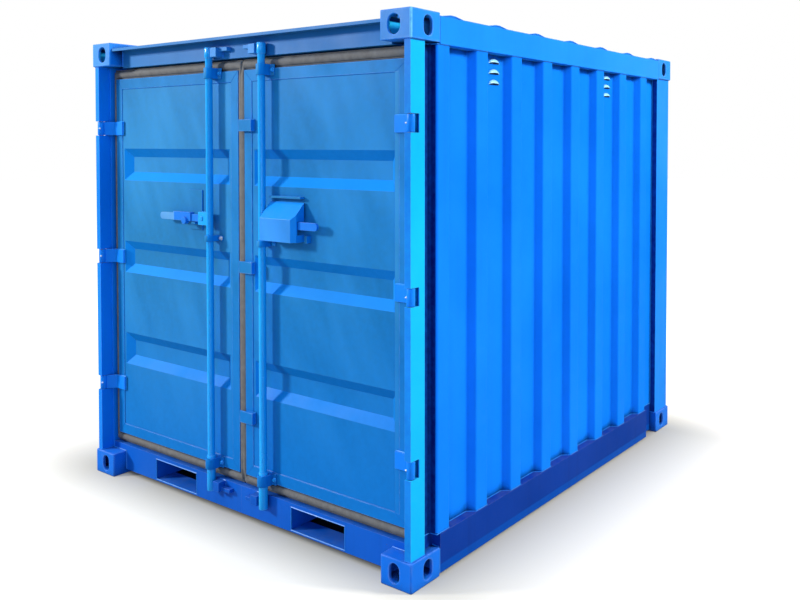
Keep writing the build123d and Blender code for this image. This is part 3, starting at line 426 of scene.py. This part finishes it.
# Painted shade on the side walls: their hollows darken, their faces towards the doors turn deep navy, and so
# does the strip beside the door posts.
wall_paint = blue_paint("wall_paint", wall_blue, hollow_shade=(0.05, 0.55, 0.78, 0.95), door_end_shade=shaded_blue,
                        zone=(shaded_blue, 1, -1.0575, -1.0555, 0.93), **wall_coat)
dress(["side_wall_left", "side_wall_right"], wall_paint, edge=0.0)
# Painted shade darkens the hollows of the end wall.
rear_wall_paint = blue_paint("rear_wall_paint", wall_blue, hollow_shade=(0.06, 0.45, 0.72, 0.9), **wall_coat)
dress(["rear_wall"], rear_wall_paint, edge=0.0)


def fold_path(begin, end, start, lead, count):
    """Places along a folded sheet and how far in each lies."""
    flat, slope, pitch, deep = 80, 27, 266, 36
    path = [(begin, deep)]
    for i in range(count):
        place = start + i * pitch
        path += [(place - (lead if i == 0 else slope), deep), (place, 0)]
        path += [(place + flat, 0), (place + flat + slope, deep)]
    return path + [(end, deep)]


side_folds = fold_path(92, 2260, 163, 3, 8)
rear_folds = fold_path(-990, 990, -838, 27, 7)
wall_foot, wall_head = 172.5, 2135.5
for name, side in (("left", -1), ("right", 1)):
    verts, faces = [], []
    for z in (wall_foot, wall_head):
        bead(verts, faces, [at(side * (1094.4 - inset), d, z) for d, inset in side_folds], Z, 2.6)
    for depth in (92.5, 2259.5):
        bead(verts, faces, [at(side * 1058.5, depth, 172), at(side * 1058.5, depth, 2136)], X, 3)
    finish_piece(f"wall_welds_{name}", verts, faces, low_weld_paint, "frame")
verts, faces = [], []
for z in (wall_foot, wall_head):
    bead(verts, faces, [at(x, 2422.4 - inset, z) for x, inset in rear_folds], Z, 2.6)
for x in (-990, 990):
    bead(verts, faces, [at(x, 2386.5, 172), at(x, 2386.5, 2136)], X, 3)
finish_piece("wall_welds_rear", verts, faces, low_weld_paint, "frame")


# Roof: one pressed sheet with low ribs across, seam-welded to the rails and the
# beams at both ends. Rain dries on it and leaves dust.
roof_paint = blue_paint("roof_paint", (0.003, 0.250, 0.88), gloss=0.50, shine=0.08, wave=0.0025, streaks=0.0,
                        chips=0.5, edge_wear_and_glint=0.0)
dress(["roof"], roof_paint, edge=0.0)
middle, rib_pitch, roof_seam = 1219, 319, 2246.5
rib_places = [middle + (i - 3) * rib_pitch for i in range(7)]
roof_run = [(178, 0)]
for rib in rib_places:
    roof_run += [(rib - 70, 0), (rib - 15, 9), (rib + 15, 9), (rib + 70, 0)]
roof_run.append((2260, 0))
verts, faces = [], []
for side in (-1, 1):
    bead(verts, faces, [at(side * 1094.5, d, roof_seam + rise) for d, rise in roof_run], X, 3, step=9.0)
    across_end = [at(x, middle + side * 1041.5, roof_seam) for x in (-1094, 1094)]
    bead(verts, faces, across_end, Y, 3, step=9.0)
finish_piece("roof_welds", verts, faces, weld_paint, "frame")


# Hooded vents: small louvres pressed out of the sheet, three over each other in
# two valleys of each wall. Each is a crescent scoop that is open underneath, painted
# much paler than the wall as a painted highlight, with a dark sheet behind its lip
# as painted shade in the opening.
vent_half, vent_rise, vent_out, lip_rise = 39, 22, 12, 5
columns, rows = 16, 6
valley_face, valley_depths, vent_heights = 1058, (602, 1666), (2106, 2060, 2014)
# Painted highlight: the hoods are painted much paler than the wall.
sunlit_vent_paint = blue_paint("sunlit_vent_paint", (0.36, 0.74, 0.95), gloss=0.34, shine=0.35, chips=0.4, edge_wear_and_glint=0.0)
# Painted shade: a dark sheet behind each hood's lip stands for the shade in its opening.
shadow_gap, gap_nt, gap_shader, gap_where = start_material("vent_shade_sheet")
gap_colour = mix_colour(gap_nt, mottle(gap_nt, gap_where, 60.0), (0.002, 0.014, 0.07),
                        (0.004, 0.024, 0.11))
gap_nt.links.new(gap_colour, gap_shader.inputs["Base Color"])
gap_rough = ramp(gap_nt, mottle(gap_nt, gap_where, 90.0), 0.0, 1.0, 0.7, 0.95)
gap_nt.links.new(gap_rough, gap_shader.inputs["Roughness"])
hood_verts, hood_faces, shade_sheet_verts, shade_sheet_faces = [], [], [], []
for side in (-1, 1):
    for depth in valley_depths:
        for z in vent_heights:
            first = len(hood_verts)
            for row in range(rows + 1):
                for column in range(columns + 1):
                    along = -1 + 2 * column / columns
                    arch = math.sqrt(max(0.0, 1 - along ** 2))
                    share = row / rows
                    out = vent_out * arch * math.cos(share * math.pi / 2) ** 0.8
                    up = z - vent_rise / 2 + arch * (lip_rise + share * (vent_rise - lip_rise))
                    hood_verts.append(at(side * (valley_face + out), depth + along * vent_half, up))
            for row in range(rows):
                for column in range(columns):
                    a = first + row * (columns + 1) + column
                    hood_faces.append((a, a + 1, a + columns + 2, a + columns + 1))
            first = len(shade_sheet_verts)
            for lift in (0.05, 0.8):
                for column in range(columns + 1):
                    along = -0.94 + 1.88 * column / columns
                    arch = math.sqrt(1 - along ** 2)
                    for up in (z - vent_rise / 2 - 0.5, z - vent_rise / 2 + 1 + 8 * arch):
                        shade_sheet_verts.append(at(side * (valley_face + lift), depth + along * vent_half, up))
            ring = 2 * (columns + 1)
            for column in range(columns):
                a = first + 2 * column
                shade_sheet_faces += [(a, a + 1, a + 3, a + 2), (a + ring, a + ring + 2, a + ring + 3, a + ring + 1)]
                shade_sheet_faces += [(a, a + 2, a + ring + 2, a + ring), (a + 1, a + ring + 1, a + ring + 3, a + 3)]
            a, b = first, first + 2 * columns
            shade_sheet_faces += [(a, a + ring, a + ring + 1, a + 1), (b, b + 1, b + ring + 1, b + ring)]
hoods = finish_piece("vent_hoods", hood_verts, hood_faces, sunlit_vent_paint, "frame", crease=50)
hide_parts("vents")
hood_wall = hoods.modifiers.new("sheet", "SOLIDIFY")
hood_wall.thickness = 1.4 * mm
hood_wall.offset = -1.0
finish_piece("vent_shade_sheets", shade_sheet_verts, shade_sheet_faces, shadow_gap, "frame")


# Floor: four sheets of sealed plywood on the bearers, butted with a small gap and
# held by countersunk screws. Dark sealant fills the joints and runs along the feet
# of the walls.
def plywood(name):
    """Sealed plywood: long grain, darker sealer in patches, pale scuffs and a dull sheen."""
    material, nt, shader, where = start_material(name)
    grain = mottle(nt, where, 60.0, stretch=(1.0, 0.06, 1.0), detail=8.0)
    base = mix_colour(nt, ramp(nt, grain, 0.35, 0.70), (0.155, 0.078, 0.036), (0.33, 0.19, 0.095))
    patch = ramp(nt, mottle(nt, where, 2.2, detail=4.0), 0.40, 0.70, 0.0, 0.45)
    base = mix_colour(nt, patch, base, (0.12, 0.065, 0.035))
    scuff = mottle(nt, where, 20.0, stretch=(0.3, 1.6, 1.0), detail=7.0, shift=4.0)
    scuff = ramp(nt, scuff, 0.58, 0.74, 0.0, 0.5)
    base = mix_colour(nt, scuff, base, (0.30, 0.24, 0.18))
    nt.links.new(base, shader.inputs["Base Color"])
    nt.links.new(ramp(nt, grain, 0.3, 0.7, 0.55, 0.75), shader.inputs["Roughness"])
    bump_chain(nt, shader, [(grain, 0.0006)])
    return material


def turned(verts, faces, foot, out, profile, sides=18, twist=0.0):
    """A turned or hexagonal solid on a foot: rings of radius and height, in millimetres, along out."""
    axis = Vector(out).normalized()
    a = axis.orthogonal().normalized()
    b = axis.cross(a)
    first = len(verts)
    for radius, rise in profile:
        for k in range(sides):
            turn = math.tau * k / sides + twist
            verts.append(foot + axis * (rise * mm) + radius * mm * (math.cos(turn) * a + math.sin(turn) * b))
    for ring in range(len(profile) - 1):
        low = first + ring * sides
        faces += [(low + k, low + (k + 1) % sides, low + sides + (k + 1) % sides, low + sides + k)
                  for k in range(sides)]
    top = first + (len(profile) - 1) * sides
    faces += [tuple(first + k for k in range(sides)), tuple(top + k for k in range(sides))]


board_under, board_top = 138.2, 166
verts, faces = [], []
for x0, x1 in ((-1047, -0.8), (0.8, 1047)):
    for d0, d1 in ((181, 1233.7), (1235.3, 2368)):
        chamfered_slab(verts, faces, (x0, d0, board_under), (x1, d1, board_top), 1.2)
boards = finish_piece("floor_boards", verts, faces, plywood("sealed_plywood"), "frame", crease=30)
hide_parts("floor")
sealant, sealant_nt, sealant_shader, sealant_where = start_material("floor_sealant")
sealant_tone = ramp(sealant_nt, mottle(sealant_nt, sealant_where, 30.0, detail=6.0), 0.35, 0.65)
sealant_tone = mix_colour(sealant_nt, sealant_tone, (0.035, 0.034, 0.033), (0.085, 0.080, 0.074))
sealant_nt.links.new(sealant_tone, sealant_shader.inputs["Base Color"])
sealant_shader.inputs["Roughness"].default_value = 0.7
verts, faces = [], []
for x in (-1052, 1052):
    bead(verts, faces, [at(x, 181, 168.5), at(x, 2376, 168.5)], Z, 6.8, step=9.0)
for depth in (2372.5, 2381.5):
    bead(verts, faces, [at(-1050, depth, 168.8), at(1050, depth, 168.8)], Z, 6.6, step=9.0)
bead(verts, faces, [at(0, 184, 156), at(0, 2366, 156)], Z, 2.4, step=40.0)
bead(verts, faces, [at(-1046, 1234.5, 156), at(1046, 1234.5, 156)], Z, 2.4, step=40.0)
finish_piece("floor_sealant", verts, faces, sealant, "frame")


def bare_steel(name, bright, stain, stained=0.5):
    """Worn or zinc-plated steel with stains."""
    material, nt, shader, where = start_material(name)
    spots = ramp(nt, mottle(nt, where, 60.0, detail=6.0), 0.42, 0.70, 0.0, stained)
    nt.links.new(mix_colour(nt, spots, bright, stain), shader.inputs["Base Color"])
    dull = ramp(nt, mottle(nt, where, 90.0, detail=5.0, shift=1.0), 0.3, 0.7, 0.30, 0.55)
    nt.links.new(dull, shader.inputs["Roughness"])
    shader.inputs["Metallic"].default_value = 0.85
    bump_chain(nt, shader, [(mottle(nt, where, 700.0), 0.00005)])
    return material


pin_steel = bare_steel("pin_steel", (0.42, 0.43, 0.45), (0.14, 0.09, 0.06), 0.8)
screw = ((5.5, -1), (5.5, 0.2), (4.6, 0.5), (2.0, 0.5), (1.6, -0.6))
first_bearer, bearer_pitch, half_bearer = 320, 290, 22
verts, faces = [], []
for bearer in range(7):
    depth = first_bearer + bearer_pitch * bearer + half_bearer
    for x in (-1020, -760, -480, -200, -30, 30, 200, 480, 760, 1020):
        turned(verts, faces, at(x, depth, board_top), Z, screw, sides=12)
finish_piece("floor_screws", verts, faces, pin_steel, "frame")


# Door leaves: a folded channel frame round one sheet with three pressed grooves.
# The corners of the frame are mitred and ground, the sheet is sealed all round, and
# the plates over the seam are welded on. Faces along Y carry painted light: a greyer
# tone with long pale diagonal clouds of painted sheen.
door_blue = (0.001, 0.250, 0.74)
# Painted shade: the doors darken towards the bottom, and faces that look down darken too.
door_coat = {"gloss": 0.44, "shine": 0.06, "wave": 0.0018, "streaks": 0.2,
             "zone": ((0.002, 0.175, 0.57), 2, 0.25, 1.15, 0.80)}
sheet_coat = {"chips": 0.25, "edge_wear_and_glint": 0.25, "downward_shade": 0.45, **door_coat}
door_paint = blue_paint("door_paint", door_blue, y_face_light_tone=(0.021, 0.212, 0.455), **sheet_coat)
leaf_frame_paint = blue_paint("leaf_frame_paint", door_blue, chips=0.5, edge_wear_and_glint=1.0, edge_reach=0.006,
                              y_face_light_tone=(0.009, 0.185, 0.450), **door_coat)
right_sheet_paint = blue_paint("right_sheet_paint", door_blue, y_face_light_tone=(0.011, 0.190, 0.445),
                               **sheet_coat)
dress(["door_frame_left", "door_frame_right"], leaf_frame_paint, edge=2.0)
dress(["door_panel_left"], door_paint, edge=0.0)
dress(["door_panel_right"], right_sheet_paint, edge=0.0)
seal_paint = blue_paint("seal_paint", (0.002, 0.150, 0.50), gloss=0.34, shine=0.12, chips=0.3, edge_wear_and_glint=0.0)
for name, side in (("left", -1), ("right", 1)):
    body = f"{name}_door"
    verts, faces = [], []
    sheet_end = 966 if name == "left" else 943
    seal_end, seal_low, seal_high = sheet_end - 0.6, 255.6, 2025.4
    seal = ((74.6, seal_low), (seal_end, seal_low), (seal_end, seal_high), (74.6, seal_high))
    bead(verts, faces, [at(side * x, 84.6, z) for x, z in seal], Y, 1.9, step=16.0, ripple=0.3, closed=True)
    for x0, x1 in ((24, 74), (1016, sheet_end)):
        for z0, z1 in ((205, 255), (2076, 2026)):
            bead(verts, faces, [at(side * x0, 82.1, z0), at(side * x1, 82.1, z1)], Y, 1.1, step=5.0)
    finish_piece(f"panel_seal_{name}", verts, faces, seal_paint, body)
strip = ((966.2, 86.0), (966.2, 82.0), (944.6, 82.0), (943.4, 82.6), (943.0, 83.8), (943.0, 86.0))
verts = [at(x, depth, z) for z in (254, 2027) for x, depth in strip]
faces = [(k, (k + 1) % 6, 6 + (k + 1) % 6, 6 + k) for k in range(6)] + [tuple(range(6)), tuple(range(6, 12))]
finish_piece("stile_strip_right", verts, faces, door_paint, "right_door")
leaf_face, seam_plates, half_plate = 81.5, (478, 1172, 1824), 27
verts, faces = [], []
for z in seam_plates:
    for edge_z in (z - half_plate, z + half_plate):
        bead(verts, faces, [at(31, leaf_face, edge_z), at(92, leaf_face, edge_z)], Z, 2.6)
    bead(verts, faces, [at(92.5, leaf_face, z - half_plate), at(92.5, leaf_face, z + half_plate)], X, 2.6)
finish_piece("seam_plate_welds", verts, faces, door_paint, "right_door")


# Gaskets: an extruded rubber profile round each leaf, with a round bulb, a groove
# and a thin outer lip, mitred at the corners and greyish brown with dust.
def rubber(name):
    """Weathered rubber: brownish grey bloom over black, dull, with fine scuffs and painted shade in its
    hollows.
    """
    material, nt, shader, where = start_material(name)
    bloom = ramp(nt, mottle(nt, where, 22.0, detail=7.0, rough=0.7), 0.30, 0.72)
    base = mix_colour(nt, bloom, (0.095, 0.090, 0.083), (0.200, 0.195, 0.186))
    patch = ramp(nt, mottle(nt, where, 4.0, detail=4.0, shift=2.0), 0.42, 0.66, 0.0, 0.5)
    base = mix_colour(nt, patch, base, (0.130, 0.120, 0.108))
    # Painted shade: the rubber darkens in its hollows.
    hollow = add_node(nt, "ShaderNodeAmbientOcclusion", samples=4, in_Distance=0.015)
    base = mix_colour(nt, ramp(nt, hollow.outputs["AO"], 0.3, 0.75, 0.6, 0.0), base, (0.030, 0.028, 0.026))
    nt.links.new(base, shader.inputs["Base Color"])
    nt.links.new(ramp(nt, bloom, 0.0, 1.0, 0.62, 0.86), shader.inputs["Roughness"])
    shader.inputs["Specular IOR Level"].default_value = 0.3
    bump_chain(nt, shader, [(mottle(nt, where, 420.0, detail=4.0), 0.0002)])
    return material


bulb = ((0.00, 107), (0.00, 97.0), (0.04, 95.0), (0.09, 94.0), (0.14, 94.4), (0.20, 90.0),
        (0.30, 86.2), (0.42, 83.9), (0.55, 83.2), (0.68, 84.4), (0.79, 88.0), (0.86, 93.0),
        (0.90, 97.0), (0.94, 95.6), (1.00, 96.4), (1.00, 102), (0.90, 107))
left_seam = ((0.00, 107), (0.00, 91.0), (0.04, 88.0), (0.10, 86.0), (0.18, 84.6), (0.27, 83.6), (0.38, 82.8),
             (0.50, 82.2), (0.62, 81.6), (0.74, 81.1), (0.86, 80.8), (1.00, 80.6), (1.14, 80.8), (1.30, 81.6),
             (1.44, 83.2), (1.44, 99.0), (0.90, 107))
right_seam = ((0.00, 107), (0.00, 91.0), (0.04, 88.0), (0.10, 86.0), (0.18, 84.6), (0.27, 83.6), (0.38, 82.8),
              (0.50, 82.2), (0.62, 81.6), (0.74, 81.1), (0.86, 80.6), (1.00, 80.2), (1.14, 80.2),
              (1.24, 80.8), (1.24, 85.0), (1.00, 88.0), (0.90, 107))
gasket_rubber = rubber("gasket_rubber")
mitre = 25
for name, side, seam in (("left", -1, left_seam), ("right", 1, right_seam)):
    inner_x, outer_x, low_z, high_z = 22, 1018, 203, 2078
    corners = (((inner_x, low_z), (-17.8, -48)), ((outer_x, low_z), (25, -48)),
               ((outer_x, high_z), (25, 50)), ((inner_x, high_z), (-17.8, 50)))
    stations = []
    for i, ((x0, z0), (wide0, high0)) in enumerate(corners):
        (x1, z1), (wide1, high1) = corners[(i + 1) % 4]
        flat = z0 == z1
        profile = seam if i == 3 else bulb
        stations.append(((x0, z0), (wide0, high0), bulb))
        run = abs(x1 - x0) + abs(z1 - z0)
        count = 9 if flat else 16
        for k in range(count + 1):
            share = (mitre + (run - 2 * mitre) * k / count) / run
            out = (0, high0) if flat else (wide0, 0)
            stations.append(((x0 + (x1 - x0) * share, z0 + (z1 - z0) * share), out, profile))
    verts, faces = [], []
    for (x, z), (wide, high), profile in stations:
        sway = 0.5 * noise.noise(Vector((x * 0.013, z * 0.013, side)))
        for share, depth in profile:
            bend = (sway if depth < 95 else 0) * min(1.0, share * 4)
            verts.append(at(side * (x + share * wide), depth + bend, z + share * high))
    ring = len(bulb)
    total = len(stations)
    for i in range(total):
        a, b = i * ring, (i + 1) % total * ring
        faces += [(a + k, a + (k + 1) % ring, b + (k + 1) % ring, b + k) for k in range(ring)]
    gasket = finish_piece(f"gasket_{name}", verts, faces, gasket_rubber, f"{name}_door",
                          crease=50)
    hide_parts(f"door_gasket_{name}")


# Hinges: cut and bent straps that end in a knuckle, welded to the leaf, on turned
# pins in the lugs of the posts. Each knuckle has a grease nipple.
fitting_paint = blue_paint("fitting_paint", (0.003, 0.360, 0.97), gloss=0.30, shine=0.22, chips=0.8, edge_wear_and_glint=0.6)
dress(["hinge_straps_left", "hinge_straps_right"],
      blue_paint("strap_paint", (0.002, 0.230, 0.84), gloss=0.32, shine=0.12, chips=0.8, edge_wear_and_glint=0.5), edge=1.5)
dress(["hinge_pins"], pin_steel, edge=1.0)
zinc = bare_steel("zinc_plate", (0.70, 0.76, 0.84), (0.40, 0.44, 0.50), 0.5)
nipple = ((4.5, -1), (4.5, 1.6), (3.0, 2.2), (2.6, 3.6), (3.2, 4.2), (2.2, 5.4), (1.0, 5.8))
hinge_x, hinge_depth, knuckle_radius = 1073, 29, 17
hinge_heights, half_strap = (474, 1147, 1820), 35
for name, side in (("left", -1), ("right", 1)):
    verts, faces, tip_verts, tip_faces = [], [], [], []
    for z in hinge_heights:
        strap = ((1016, z - half_strap), (950, z - half_strap), (950, z + half_strap), (1016, z + half_strap))
        strap = [at(side * x, leaf_face, edge_z) for x, edge_z in strap]
        bead(verts, faces, strap, Y, 2.8, step=5.0, ripple=0.35)
        out = Vector((-side * 0.62, -0.78, 0))
        knuckle = at(side * hinge_x, hinge_depth, z)
        turned(tip_verts, tip_faces, knuckle + out * knuckle_radius * mm, out, nipple, sides=12)
    finish_piece(f"hinge_welds_{name}", verts, faces, fitting_paint, f"{name}_door")
    finish_piece(f"grease_nipples_{name}", tip_verts, tip_faces, zinc, f"{name}_door")


# Lock rods: tube with a heavier sleeve below and a collar above, closed by turned
# caps, in brackets that are bolted to the leaf. Blocks beside the rod ends are
# welded to the header and the sill.
rod_paint = blue_paint("rod_paint", (0.002, 0.400, 0.99), gloss=0.24, shine=0.40, chips=0.6, edge_wear_and_glint=0.5)
dress(["lock_rod_left", "lock_rod_right"], rod_paint, edge=1.2)
dress(["rod_brackets_left", "rod_brackets_right"], door_paint, edge=1.2)
keeper_paint = blue_paint("keeper_paint", (0.026, 0.250, 0.64), gloss=0.40, shine=0.10, chips=1.0,
                          edge_wear_and_glint=0.5, rust=0.3, zone=((0.001, 0.095, 0.50), 2, 1.0, 1.1, 1.0))
dress(["rod_keepers"], keeper_paint, edge=2.0)
rod_x, rod_depth, rod_low, rod_high = 186, 46, 98, 2187
middle_bracket, half_bracket = 1294, 38
washer = ((10.5, -0.5), (10.5, 1.6), (9.8, 2.0), (5.0, 2.0))
bolt = ((7.6, 1.5), (7.6, 7.4), (6.6, 8.4), (4.2, 8.6))
cap = ((14.0, -1.0), (19.4, 0.0), (19.6, 1.6), (17.6, 3.4), (11.0, 4.6), (4.0, 5.0))
verts, faces = [], []
for shift in (-half_bracket, half_bracket):
    place = at(shift - rod_x, 80, middle_bracket)
    turned(verts, faces, place, (0, -1, 0), washer, sides=20)
    turned(verts, faces, place, (0, -1, 0), bolt, sides=6, twist=0.3)
finish_piece("new_bolts_left", verts, faces, zinc, "left_door")
verts, faces = [], []
for side in (-1, 1):
    for low, high in ((104, 148), (2143, 2187)):
        block = [at(side * x, 71.6, z) for x, z in ((113, low), (157, low), (157, high), (113, high))]
        bead(verts, faces, block, Y, 2.6, step=5.0, ripple=0.35, closed=True)
finish_piece("keeper_welds", verts, faces, low_weld_paint, "frame")
for name, side in (("left", -1), ("right", 1)):
    verts, faces = [], []
    for z, foot in ((225, 77), (middle_bracket, 80), (2070, 77)):
        if name == "left" and z == middle_bracket:
            continue
        for shift in (-half_bracket, half_bracket):
            place = at(side * rod_x + shift, foot, z)
            turned(verts, faces, place, (0, -1, 0), washer, sides=20)
            turned(verts, faces, place, (0, -1, 0), bolt, sides=6, twist=0.3 + 0.01 * z + shift)
    finish_piece(f"bracket_bolts_{name}", verts, faces, fitting_paint, f"{name}_door")
    verts, faces = [], []
    turned(verts, faces, at(side * rod_x, rod_depth, rod_low), (0, 0, -1), cap, sides=28)
    turned(verts, faces, at(side * rod_x, rod_depth, rod_high), Z, cap, sides=28)
    radius = 17.6
    for z in (262.5, 2140.5):
        turns = [math.tau * k / 24 for k in range(24)]
        ring = [at(side * rod_x + radius * math.cos(t), rod_depth + radius * math.sin(t), z) for t in turns]
        bead(verts, faces, ring, Z, 2.2, step=4.0, ripple=0.35, closed=True)
    finish_piece(f"rod_ends_{name}", verts, faces, rod_paint, f"{name}_rod")


# Handles: flat bars that turn on a pin between the cheeks of a hub. The left one
# has a hasp block and rests over a shelf, and its outer end is painted paler. The
# right one carries the lock box, a welded hood of 4 mm sheet.
dress(["handle_catch_left", "handle_catch_right"], door_paint, edge=0.8)
# The lock box gets a painted tone of light on its faces along Y.
box_paint = blue_paint("box_paint", (0.002, 0.290, 0.86), gloss=0.36, shine=0.14, wave=0.0004, chips=0.5,
                       edge_wear_and_glint=0.4, y_face_light_tone=(0.030, 0.270, 0.74))
dress(["lock_box"], box_paint, edge=1.2, rounds=3)
handle_paint = blue_paint("handle_paint", (0.002, 0.205, 0.78), gloss=0.34, shine=0.20, chips=1.0,
                          edge_wear_and_glint=0.6, zone=((0.12, 0.38, 0.70), 0, -0.452, -0.446, 0.9))
dress(["handle_left", "handle_right"], handle_paint, edge=1.8, rounds=3)
hub_x, hub_z = 232, 1386
pin_head = ((11.5, -0.5), (11.5, 2.6), (10.2, 4.0), (5.0, 4.4))
for name, side in (("left", -1), ("right", 1)):
    verts, faces = [], []
    turned(verts, faces, at(side * hub_x, 33, hub_z), (0, -1, 0), pin_head, sides=24)
    turned(verts, faces, at(side * hub_x, 59, hub_z), Y, pin_head, sides=24)
    finish_piece(f"hub_pin_{name}", verts, faces, fitting_paint, f"{name}_rod")


# The studio: a pale floor that glows white to the camera, with a painted shadow near
# and under the box, a key light high on the right, a hard one on the left, a bluish
# fill in front on the right, a soft light overhead, and the camera of the view.
span = 40.0
studio = bpy.data.meshes.new("studio_floor")
studio_corners = [(-span, -span, 0), (span, -span, 0), (span, span, 0), (-span, span, 0)]
studio.from_pydata(studio_corners, [], [(0, 1, 2, 3)])
studio_floor = bpy.data.objects.new("studio_floor", studio)
bpy.context.scene.collection.objects.link(studio_floor)
floor_material, floor_nt, floor_shader, floor_where = start_material("studio_floor")
floor_shader.inputs["Roughness"].default_value = 0.9
floor_shader.inputs["Specular IOR Level"].default_value = 0.0
floor_shader.inputs["Emission Color"].default_value = (1, 1, 1, 1)
past_box = add_node(floor_nt, "ShaderNodeVectorMath", operation="ABSOLUTE")
floor_nt.links.new(floor_where, past_box.inputs[0])
beyond = add_node(floor_nt, "ShaderNodeVectorMath", operation="SUBTRACT", in_1=(1.00, 1.10, 0.0))
floor_nt.links.new(past_box.outputs[0], beyond.inputs[0])
outside = add_node(floor_nt, "ShaderNodeVectorMath", operation="MAXIMUM", in_1=(0.0, 0.0, 0.0))
floor_nt.links.new(beyond.outputs[0], outside.inputs[0])
weighed = add_node(floor_nt, "ShaderNodeVectorMath", operation="MULTIPLY", in_1=(0.55, 1.0, 1.0))
floor_nt.links.new(outside.outputs[0], weighed.inputs[0])
away = add_node(floor_nt, "ShaderNodeVectorMath", operation="LENGTH")
floor_nt.links.new(weighed.outputs[0], away.inputs[0])
# Painted shadow: the floor's colour turns dark under the box.
floor_shadow_tone = mix_colour(floor_nt, ramp(floor_nt, away.outputs["Value"], 0.0, 0.06), (0.03, 0.03, 0.03),
                        (0.485, 0.455, 0.375))
floor_nt.links.new(floor_shadow_tone, floor_shader.inputs["Base Color"])
seen = add_node(floor_nt, "ShaderNodeLightPath")
# Painted shadow: the floor's glow to the camera fades towards the box.
rise = combine(floor_nt, "ADD", ramp(floor_nt, away.outputs["Value"], 0.0, 0.32, 0.0, 0.62),
               ramp(floor_nt, away.outputs["Value"], 0.32, 1.2, 0.0, 0.38))
floor_nt.links.new(combine(floor_nt, "MULTIPLY", seen.outputs["Is Camera Ray"], rise),
                   floor_shader.inputs["Emission Strength"])
studio.materials.append(floor_material)

world = bpy.context.scene.world or bpy.data.worlds.new("studio")
bpy.context.scene.world = world
world.use_nodes = True
world_nt = world.node_tree
background = world_nt.nodes["Background"]
background.inputs["Color"].default_value = (1, 1, 1, 1)
path = add_node(world_nt, "ShaderNodeLightPath")
shown = combine(world_nt, "MAXIMUM", path.outputs["Is Camera Ray"], path.outputs["Is Glossy Ray"])
shown = combine(world_nt, "MAXIMUM", shown, path.outputs["Is Transmission Ray"])
world_nt.links.new(ramp(world_nt, shown, 0.0, 1.0, 0.18, 1.0), background.inputs["Strength"])


def add_lamp(name, place, aim, size, watts, colour=(1, 1, 1)):
    """A square area lamp that looks at a point."""
    lamp = bpy.data.lights.new(name, "AREA")
    lamp.size = size
    lamp.energy = watts
    lamp.color = colour
    holder = bpy.data.objects.new(name, lamp)
    holder.location = place
    holder.rotation_euler = (Vector(aim) - Vector(place)).to_track_quat("-Z", "Y").to_euler()
    bpy.context.scene.collection.objects.link(holder)


add_lamp("key", (7.6, 2.7, 6.3), (1.0, 0.0, 1.1), 1.6, 900)
add_lamp("left", (-6.9, -7.2, 4.6), (0.0, -1.0, 1.1), 1.2, 850)
add_lamp("front", (4.2, -6.0, 2.6), (0.0, -1.0, 1.1), 3.0, 150, (0.12, 0.42, 1.0))
add_lamp("sky", (-0.5, -4.5, 8.0), (0.0, -1.0, 1.1), 3.5, 190)

bpy.context.scene.view_settings.view_transform = "Standard"
turn, pitch, roll = math.radians(34.324), math.radians(1.567), math.radians(0.167)
back = Vector((math.sin(turn) * math.cos(pitch), -math.cos(turn) * math.cos(pitch), math.sin(pitch)))
right = (-back).cross(Vector((0, 0, 1))).normalized()
above = right.cross(-back)
right, above = (math.cos(roll) * right + math.sin(roll) * above,
                -math.sin(roll) * right + math.cos(roll) * above)
lens = bpy.data.cameras.new("camera")
lens.sensor_width = 36.0
lens.sensor_fit = "HORIZONTAL"
lens.lens = 37.807
lens.shift_x = -0.1334
lens.shift_y = -0.1624
camera = bpy.data.objects.new("camera", lens)
camera_x, camera_y, camera_z = 3.1994, -3.6497, 1.7282
camera.matrix_world = Matrix((
    (right.x, above.x, back.x, camera_x),
    (right.y, above.y, back.y, camera_y),
    (right.z, above.z, back.z, camera_z),
    (0, 0, 0, 1),
))
bpy.context.scene.collection.objects.link(camera)
bpy.context.scene.camera = camera
